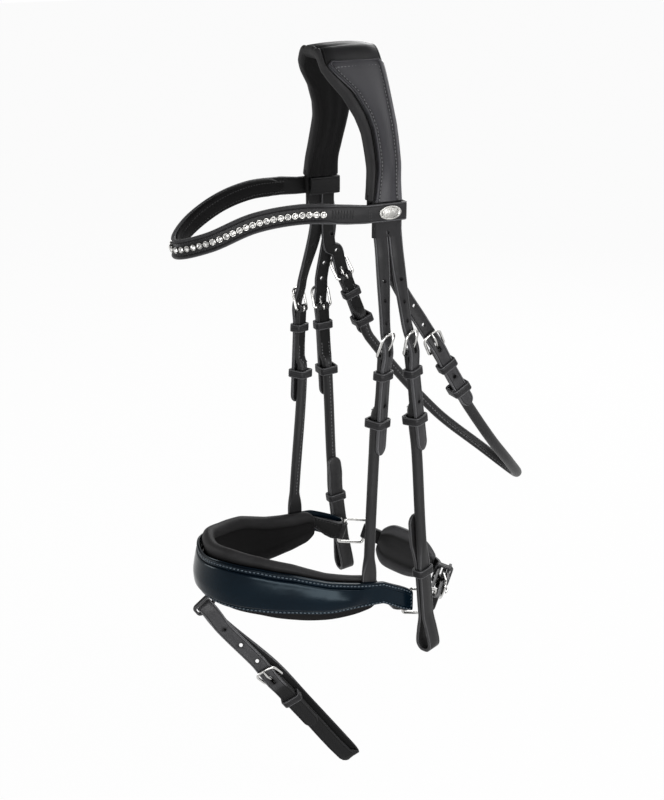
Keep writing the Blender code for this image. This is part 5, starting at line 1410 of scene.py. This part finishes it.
def noseWall():
    half = [row[:-1] for row in noseband["rows"]]
    far = [(-x, y, *(z + lift for z in edges)) for x, y, *edges, lift in noseband["rows"][1:]]
    rows = far[::-1] + half
    steps = [noseband["steps"]] * (len(rows) - 1)
    ways = smoothLine([(r[0], r[1], 0) for r in rows], steps)
    panel = smoothLine([(r[2], r[3], 0) for r in rows], steps)
    lining = smoothLine([(r[4], r[5], 0) for r in rows], steps)
    wall = []
    for way, turn, face, pad in zip(ways, tangents(ways), panel, lining):
        wall.append({"at": way, "out": Vector((turn.y, -turn.x, 0)).normalized(), "along": turn,
                     "panel": face, "pad": pad})
    return wall


def noseCrown(place):
    return noseband["crown"] * (1 - ease((place["at"].y - noseband["crownFrom"])
                                         / (noseband["crownTo"] - noseband["crownFrom"])))


def panelOutline(place):  # out of the wall, then height
    top, low = place["panel"].x, place["panel"].y
    inner = noseband["strap"] / 2 + touch
    face = inner + noseband["edge"]
    crown = noseCrown(place)
    flange, under = noseband["flange"], noseband["lowFlange"]
    high, deep = top - flange, low + under
    tall = high - deep
    dip = 0.0013 * min(1.0, 0.35 + crown / noseband["crown"])
    return softCurve([
        (inner, top - 0.0004), (inner + 0.0008, top), (face - 0.0003, top - 0.0002), (face, top - 0.0010),
        (face - 0.0003, top - 0.45 * flange),
        (face - 0.0001, top - 0.8 * flange), (face - dip, high), (face + 0.14 * crown, high - 0.03 * tall),
        (face + 0.38 * crown, high - 0.16 * tall),
        (face + 0.60 * crown, high - 0.30 * tall), (face + 0.80 * crown, high - 0.44 * tall),
        (face + 0.94 * crown, high - 0.56 * tall),
        (face + crown, high - 0.66 * tall), (face + 0.96 * crown, high - 0.78 * tall),
        (face + 0.86 * crown, high - 0.90 * tall),
        (face + 0.62 * crown, high - 0.965 * tall),
        (face - dip, deep), (face - 0.0001, low + 0.75 * under),
        (face, low + 0.0010), (face - 0.0004, low + 0.0001), (inner + 0.0008, low), (inner, low + 0.0004),
        (inner, mix(low, top, 0.5))], 3)


def liningOutline(place, close):
    top, low = place["pad"].x, place["pad"].y
    edge = place["panel"].x
    back = -(noseband["strap"] / 2 + touch)
    deep = noseband["lining"]
    fat = min(0.0125, 0.34 * (top - low))
    points = [
        (back, edge - 0.004), (back + 0.0002, edge - 0.0004), (back + 0.0012, mix(edge, top, 0.45)),
        (back - 0.0006, top - 0.0016),
        (back - 0.0042, top), (back - 0.0084, top - 0.0018), (back - deep, top - 0.42 * fat),
        (back - 0.92 * deep, top - 0.80 * fat),
        (back - 0.70 * deep, top - fat), (back - 0.76 * deep, top - 1.25 * fat),
        (back - 0.84 * deep, mix(top, low, 0.55)),
        (back - 0.72 * deep, low + 0.95 * fat), (back - 0.86 * deep, low + 0.66 * fat),
        (back - 0.92 * deep, low + 0.32 * fat),
        (back - 0.55 * deep, low), (back - 0.0012, low + 0.0006), (back + 0.0006, low + 0.0026),
        (back, low + 0.0052), (back, mix(low, edge, 0.5))]
    paintedLight = {2: 0.5, 3: 1.0, 4: 1.0, 5: 0.9, 6: 0.6, 7: 0.2, 8: -0.6, 12: 0.3,
             13: 0.3}  # painted highlights on the rolls, painted shade in the sewn channel
    middle = Vector((back - deep / 2, (top + low) / 2, 0))
    return [middle + (p - middle) * close
            for p in softCurve([(*p, paintedLight.get(i, 0.0)) for i, p in enumerate(points)], 2)]


def wallSweep(wall, outline):
    bm = bmesh.new()
    rings = []
    for i, place in enumerate(wall):
        points = outline(place, min(i, len(wall) - 1 - i))
        rings.append([(place["at"] + place["out"] * p[0] + zAxis * p[1], p[2] if len(p) > 2 else 0.0)
                      for p in points])
    sweep(bm, rings)
    return bm


def buildNoseband():
    wall = noseWall()
    panel = makePiece("nosebandPanel", wallSweep(wall, lambda place, i: panelOutline(place)),
                      "patentLeather", "bridle", ["noseband_panel"])
    soften(panel)
    steps = noseband["steps"]
    lining = makePiece("nosebandLining",
                       wallSweep(wall[2 * steps:-2 * steps], lambda place,
                                 i: liningOutline(place, 0.55 + 0.45 * ease((i + 1) / 4))),
                       "softLeather", "bridle", ["noseband_lining"])
    soften(lining)
    face = noseband["strap"] / 2 + touch + noseband["edge"]
    seams = bmesh.new()
    for low in (False, True):
        row = []
        for place in wall[2:-2]:
            top, bottom = place["panel"].x, place["panel"].y
            z = bottom + 0.42 * noseband["lowFlange"] if low else top - 0.45 * noseband["flange"]
            row.append((place["at"] + place["out"] * (face - 0.0002) + zAxis * z, place["out"]))
        stitchRow(seams, row, 0.0036, noseband["stitch"])
    for place in (wall[2], wall[-3]):  # across both ends
        row = [(place["at"] + place["out"] * (face - 0.0002) + zAxis * mix(place["panel"].x - 0.0030,
                                                                           place["panel"].y + 0.0024,
                                                                           k / 6), place["out"])
               for k in range(7)]
        stitchRow(seams, row, 0.0036, noseband["stitch"])
    makePiece("nosebandStitching", seams, "navyThread")
    buildNoseStrap(wall)
    for side, name in sides.items():
        place = ringSeat(side)
        half = ring["length"] / 2
        outline = roundedBox(ring["height"] / 2, half, (0.1 * ring["height"],) * 4, 6)
        bm = wireMesh([[place @ Vector((x, y - half, 0)) for x, y in outline]], ring["wire"], True)
        makePiece(f"noseRing{name.capitalize()}", bm, "brightSteel", f"ring_{name}",
                  [f"noseband_ring_{name}"], 60)
    print("noseband built")


def buildNoseStrap(wall):
    stops = []
    for place in wall[2 * noseband["steps"]:-2 * noseband["steps"]:4]:
        tall = place["panel"].x - place["panel"].y - 0.010
        made = stop(place["at"] + zAxis * (place["panel"].x + place["panel"].y) / 2, -zAxis,
                    min(tall, noseband["tab"]), noseband["strap"] - touch)
        made["steps"] = 2
        stops.append(made)
    up = chinFrame().col[2].xyz
    ends = []
    for side in (-1, 1):
        place = ringSeat(side)
        ends.append([stop(place @ Vector((0, u, 0)), -up, noseband["tab"], 2 * buckle["layer"])
                     for u in (0.009, ringBore + 0.5 * buckle["layer"])])
    bm, frames = strapMesh(ends[0][::-1] + stops + ends[1])
    for side in (-1, 1):
        foldEye(bm, ringSeat(side), noseband["tab"], ringBore, buckle["layer"], False)
    makePiece("nosebandCore", bm, "bridleLeather", "bridle", ["noseband_strap"])
    seams = bmesh.new()
    for row in (frames[2:9], frames[-9:-2]):
        edgeStitches(seams, row, 0.0024)
    makePiece("nosebandTabStitching", seams, "darkThread")


# chin strap

chin = {"width": 0.0145, "angle": math.radians(40), "reach": 0.0480, "padHeight": 0.0460,
        "padThick": 0.0095, "chape": 0.0240, "tail": 0.0300,
        "line": ((-0.0530, 0.0385, 0), (-0.0430, 0.0468, 0), (-0.0220, 0.0640, 0), (-0.0030, 0.0738, 0))}


def chinUnder():
    return -eyeRadius - touch - thick / 2


def nearRingLift():
    return chinUnder() + ring["wire"] / 2 + play + touch + thick / 2


def chinBuckleSeat():
    along = Vector((-math.cos(chin["angle"]), math.sin(chin["angle"]), 0))
    out = Vector((math.sin(chin["angle"]), math.cos(chin["angle"]), 0))
    bar = Vector((ring["halfSpan"], ring["length"], 0))
    place = chinFrame()
    turn = place.to_3x3()
    return seat(place @ (bar + along * chin["reach"] - out * nearRingLift()), turn @ along, turn @ out)


def buildChin():
    place, bar = chinFrame(), chinBuckleSeat()
    up = place.col[2].xyz
    farBar = Vector((-ring["halfSpan"], ring["length"], 0))
    start = Vector((math.cos(chin["angle"]), math.sin(chin["angle"]), 0))
    wrap = ring["wire"] / 2 + play + touch + thick / 2
    wide = chin["width"]
    stops = []
    for point, deep, steps in ((farBar + start * (ringBore + 0.5 * buckle["layer"]), 2 * buckle["layer"],
                                1), (farBar + start * 0.010, 2 * buckle["layer"], 2),
                               (Vector(chin["line"][1]), thick, 2), (Vector(chin["line"][2]), thick, 2),
                               (Vector(chin["line"][3]), thick, 3)):
        stops.append(stop(place @ point, up, wide, deep, steps=steps))
    for u in (chin["chape"] - 0.002, 0, -chin["reach"] + wrap):
        stops.append(stop(bar @ Vector((0, u, chinUnder())), up, wide, thick))
    lift = nearRingLift()
    for k in range(1, 6):
        angle = math.pi * (k / 6) + math.pi / 2
        stops.append(stop(bar @ Vector((0, -chin["reach"] + wrap * math.cos(angle),
                                        lift - wrap * math.sin(angle))), up, wide, thick))
    back = billetStops(bar, wide, chin["tail"], lead=False)
    for item in back:
        item["side"] = up
    stops.append(stop(bar @ Vector((0, -chin["reach"] + wrap, lift + wrap)), up, wide, thick))
    bm = strapMesh(stops + back)[0]
    farSeat = seat(place @ farBar, place.to_3x3() @ start, -place.col[0].xyz)
    foldEye(bm, farSeat, wide, ringBore, buckle["layer"], False)
    strap = makePiece("chinStrap", bm, "bridleLeather", "chin", ["chin_strap"])
    holes = bmesh.new()
    prongSlot(holes, bar)
    punch(strap, holes)
    bm = strapMesh(chapeStops(bar, wide - 2 * play, chin["chape"]))[0]
    foldEye(bm, bar, wide - 2 * play, eyeBore, buckle["layer"], True)
    makePiece("chinBuckleTab", bm, "bridleLeather", "chin", ["chin_buckle_tab"])
    buckleFrame("chinBuckle", bar, "chin", "chin_buckle", wide)
    prongPiece("chinProng", bar, "chin_prong", "chin_prong")
    keeperPiece("chinKeeper", bar, 0.75 * chin["chape"], chinUnder() - thick / 2 - play,
                tailLift + thick / 2 + play, wide + 2 * play, "chin", "chin_keeper")
    buildChinPad(place)
    print("chin strap built")


def buildChinPad(place):
    line = smoothLine(chin["line"], [10, 14, 10])
    lift = (thick + chin["padThick"]) / 2 + 2 * touch
    rings = []
    for i, (point, turn) in enumerate(zip(line, tangents(line))):
        share = 2 * i / (len(line) - 1) - 1
        swell = max(0.0, 1 - abs(share) ** 3) * 0.55 + 0.45
        out = Vector((-turn.y, turn.x, 0))
        tall, deep = chin["padHeight"] * swell, chin["padThick"] * swell
        middle = point - out * (lift - 0.5 * chin["padThick"] * (1 - swell))
        half, fat = tall / 2, 0.22 * tall
        points = [(half, 0), (half - 0.10 * fat, 0.42 * deep), (half - 0.5 * fat, 0.56 * deep),
                  (half - 0.95 * fat, 0.40 * deep), (half - 1.15 * fat, 0.34 * deep),
                  (half - 1.5 * fat, 0.46 * deep), (0, 0.58 * deep)]
        points += [(-x, y) for x, y in points[-2::-1]]
        points += [(-half + 0.25 * fat, -0.40 * deep), (-half + 0.9 * fat, -0.5 * deep), (0, -0.5 * deep),
                   (half - 0.9 * fat, -0.5 * deep), (half - 0.25 * fat, -0.40 * deep)]
        # painted highlights on the rolled rims, painted shade in the creases beside them
        paintedLight = {0: 0.5, 1: 0.6, 2: 0.6, 3: 0.2, 4: -0.8, 8: -0.8, 9: 0.2, 10: 0.6, 11: 0.6, 12: 0.5}
        marked = softCurve([(*p, paintedLight.get(k, 0.0)) for k, p in enumerate(points)], 2)
        rings.append([(place @ (middle + zAxis * p.x - out * p.y), p.z) for p in marked])
    bm = bmesh.new()
    sweep(bm, rings)
    pad = makePiece("chinPad", bm, "rolledLeather", "chin", ["chin_pad"])
    soften(pad)


# flash strap

flash = {"angle": math.radians(36), "twist": math.radians(20), "width": 0.0145, "skew": 0.0045,
         "y": -0.1336, "z": -0.4735,
         "length": 0.2525, "buckleAt": 0.1145, "keeperAt": 0.0295, "loopWall": 0.0022, "tabReach": 0.0080,
         "loopWide": 0.0042, "tabWide": 0.0065, "lean": 0.0030,
         "loopOpen": 0.0075, "tail": 0.0620, "bend": 0.0090, "round": 0.0022, "free": 0.0300, "holes": 3,
         "holeAt": 0.0310, "holePitch": 0.0275}


def flashFrame():
    return seat((0, flash["y"], flash["z"]), (0, math.sin(flash["angle"]), -math.cos(flash["angle"])),
                xAxis)


def flashTable():
    half = flash["loopWide"] / 2 + 2 * play + thick / 2
    under = chinUnder() - play
    low, bend = flash["length"] - thick / 2, flash["bend"]
    at, end, double = flash["buckleAt"], flash["buckleAt"] + buckle["chape"], 2 * buckle["layer"]
    return ((at + eyeBore + 0.5 * buckle["layer"], 0, double, 1), (at + flash["keeperAt"], 0, double, 1),
            (end, 0, double, 1), (end + bend, 0, thick, 1),
            (low - bend, 0, thick, 1), (low - 0.5 * thick, 0.30 * under, thick, 1),
            (low - 0.5 * thick, 0.80 * under, thick, 1), (low - bend, under - play, thick, 1),
            (end, under - 2 * play, thick, 1), (at - bend, under - 2 * play, thick, 2),
            (flash["free"], -half, thick, 1), (bend, -half, thick, 1),
            (0.5 * thick, flash["round"] - half, thick, 1), (0, -0.35 * half, thick, 1),
            (0, 0.35 * half, thick, 1), (0.5 * thick, half - flash["round"], thick, 1),
            (bend, half, thick, 1), (flash["free"], half, thick, 3))


def buildFlash():
    place = flashFrame()
    hang = place @ Matrix.Rotation(flash["twist"], 4, "Y")
    bar = hang @ Matrix.Translation((0, flash["buckleAt"], 0))
    stops = []
    for u, lift, deep, steps in flashTable():
        held = hang if u > flash["bend"] else place
        skew = (-flash["skew"] if u > flash["free"] else flash["lean"] if u == flash["free"]
                else 0) if lift < 0 else 0
        # the strap below the buckle gets painted shade, the layer above it a painted highlight
        dullAndPaintedShade = 0.95 if u > flash["buckleAt"] else -1.6 * leatherCut["paintedLight"]
        stops.append(stop(held @ Vector((skew, u, lift)), across(held), flash["width"], deep, steps=steps,
                          dullAndPaintedShade=dullAndPaintedShade))
    free = stops[-1]["at"]
    tail = billetStops(bar, flash["width"], flash["tail"])
    # the strap leading into the buckle gets a painted highlight, the tail beyond it painted shade
    for item in tail[:4]:
        item["dullAndPaintedShade"] = -1.6 * leatherCut["paintedLight"]
    for item in tail[6:]:
        item["dullAndPaintedShade"] = 0.8
    bm, frames = strapMesh(stops + tail)
    foldEye(bm, bar, flash["width"], eyeBore, buckle["layer"], True)
    strap = makePiece("flashStrap", bm, "bridleLeather", "flash", ["flash_strap"])
    holes = bmesh.new()
    prongSlot(holes, bar)
    lead = bar @ Vector((0, -billetLead, 0))
    span = flash["buckleAt"] - billetLead - flash["free"]
    places = [free.lerp(lead, (flash["holeAt"] + k * flash["holePitch"] - flash["free"]) / span)
              for k in range(flash["holes"])]
    roundHoles(holes, places[:1], hang.col[2].xyz)
    for hole in places[1:]:  # punched at a slant through both layers
        roundHoles(holes, [hole], Vector(studio["eye"]) - hole, leatherCut["hole"], 0.040)
    punch(strap, holes)
    seams = bmesh.new()
    edgeStitches(seams, frames[2:10])
    makePiece("flashStitching", seams, "blackThreadWithPaintedSheen", "flash")
    buckleFrame("flashBuckle", bar, "flash", "flash_buckle", flash["width"])
    prongPiece("flashProng", bar, "flash_prong", "flash_prong")
    fixedKeeper("flashKeeper", bar, "flash_keeper", "flash", flash["keeperAt"], flash["width"])
    buildFlashLoop(place)
    print("flash strap built")


def buildFlashLoop(place):
    wall, wide = flash["loopWall"], flash["loopWide"]
    outline = roundedBox(flash["width"] / 2 + 2 * play + wall / 2, flash["loopOpen"] / 2 + wall / 2,
                         (0.3 * flash["loopOpen"] + wall / 2,) * 4, 6)
    line = [Vector((x, y, 0)) for x, y in outline]
    rings = []
    for point, along in zip(line, tangents(line, True)):
        out = along.cross(zAxis)
        rings.append([(place @ (point + zAxis * x + out * y), mark) for x, y,
                      mark in strapOutline(wide, wall)])
    bm = bmesh.new()
    sweep(bm, rings, True)
    front = noseband["rows"][0]
    tab = (flash["tabWide"], noseThick - 2 * touch)
    high = stop((0, front[1], front[3] + flash["tabReach"]), xAxis, *tab)
    low = stop(place @ Vector((-(flash["width"] / 2 + 2 * play + wall / 2), 0, 0)), xAxis, *tab)
    sweep(bm, [strapRing(f) for f in strapFrames([high, low])])
    makePiece("flashLoop", bm, "bridleLeather", "bridle", ["flash_loop"])


buildHeadpiece()
buildBillets()
buildBrowband()
buildStones()
buildBadge()
for side in sides:
    buildHanger(side)
    buildCheek(side)
print("hangers and cheeks built")
buildThroatlash()
buildNoseband()
buildChin()
buildFlash()
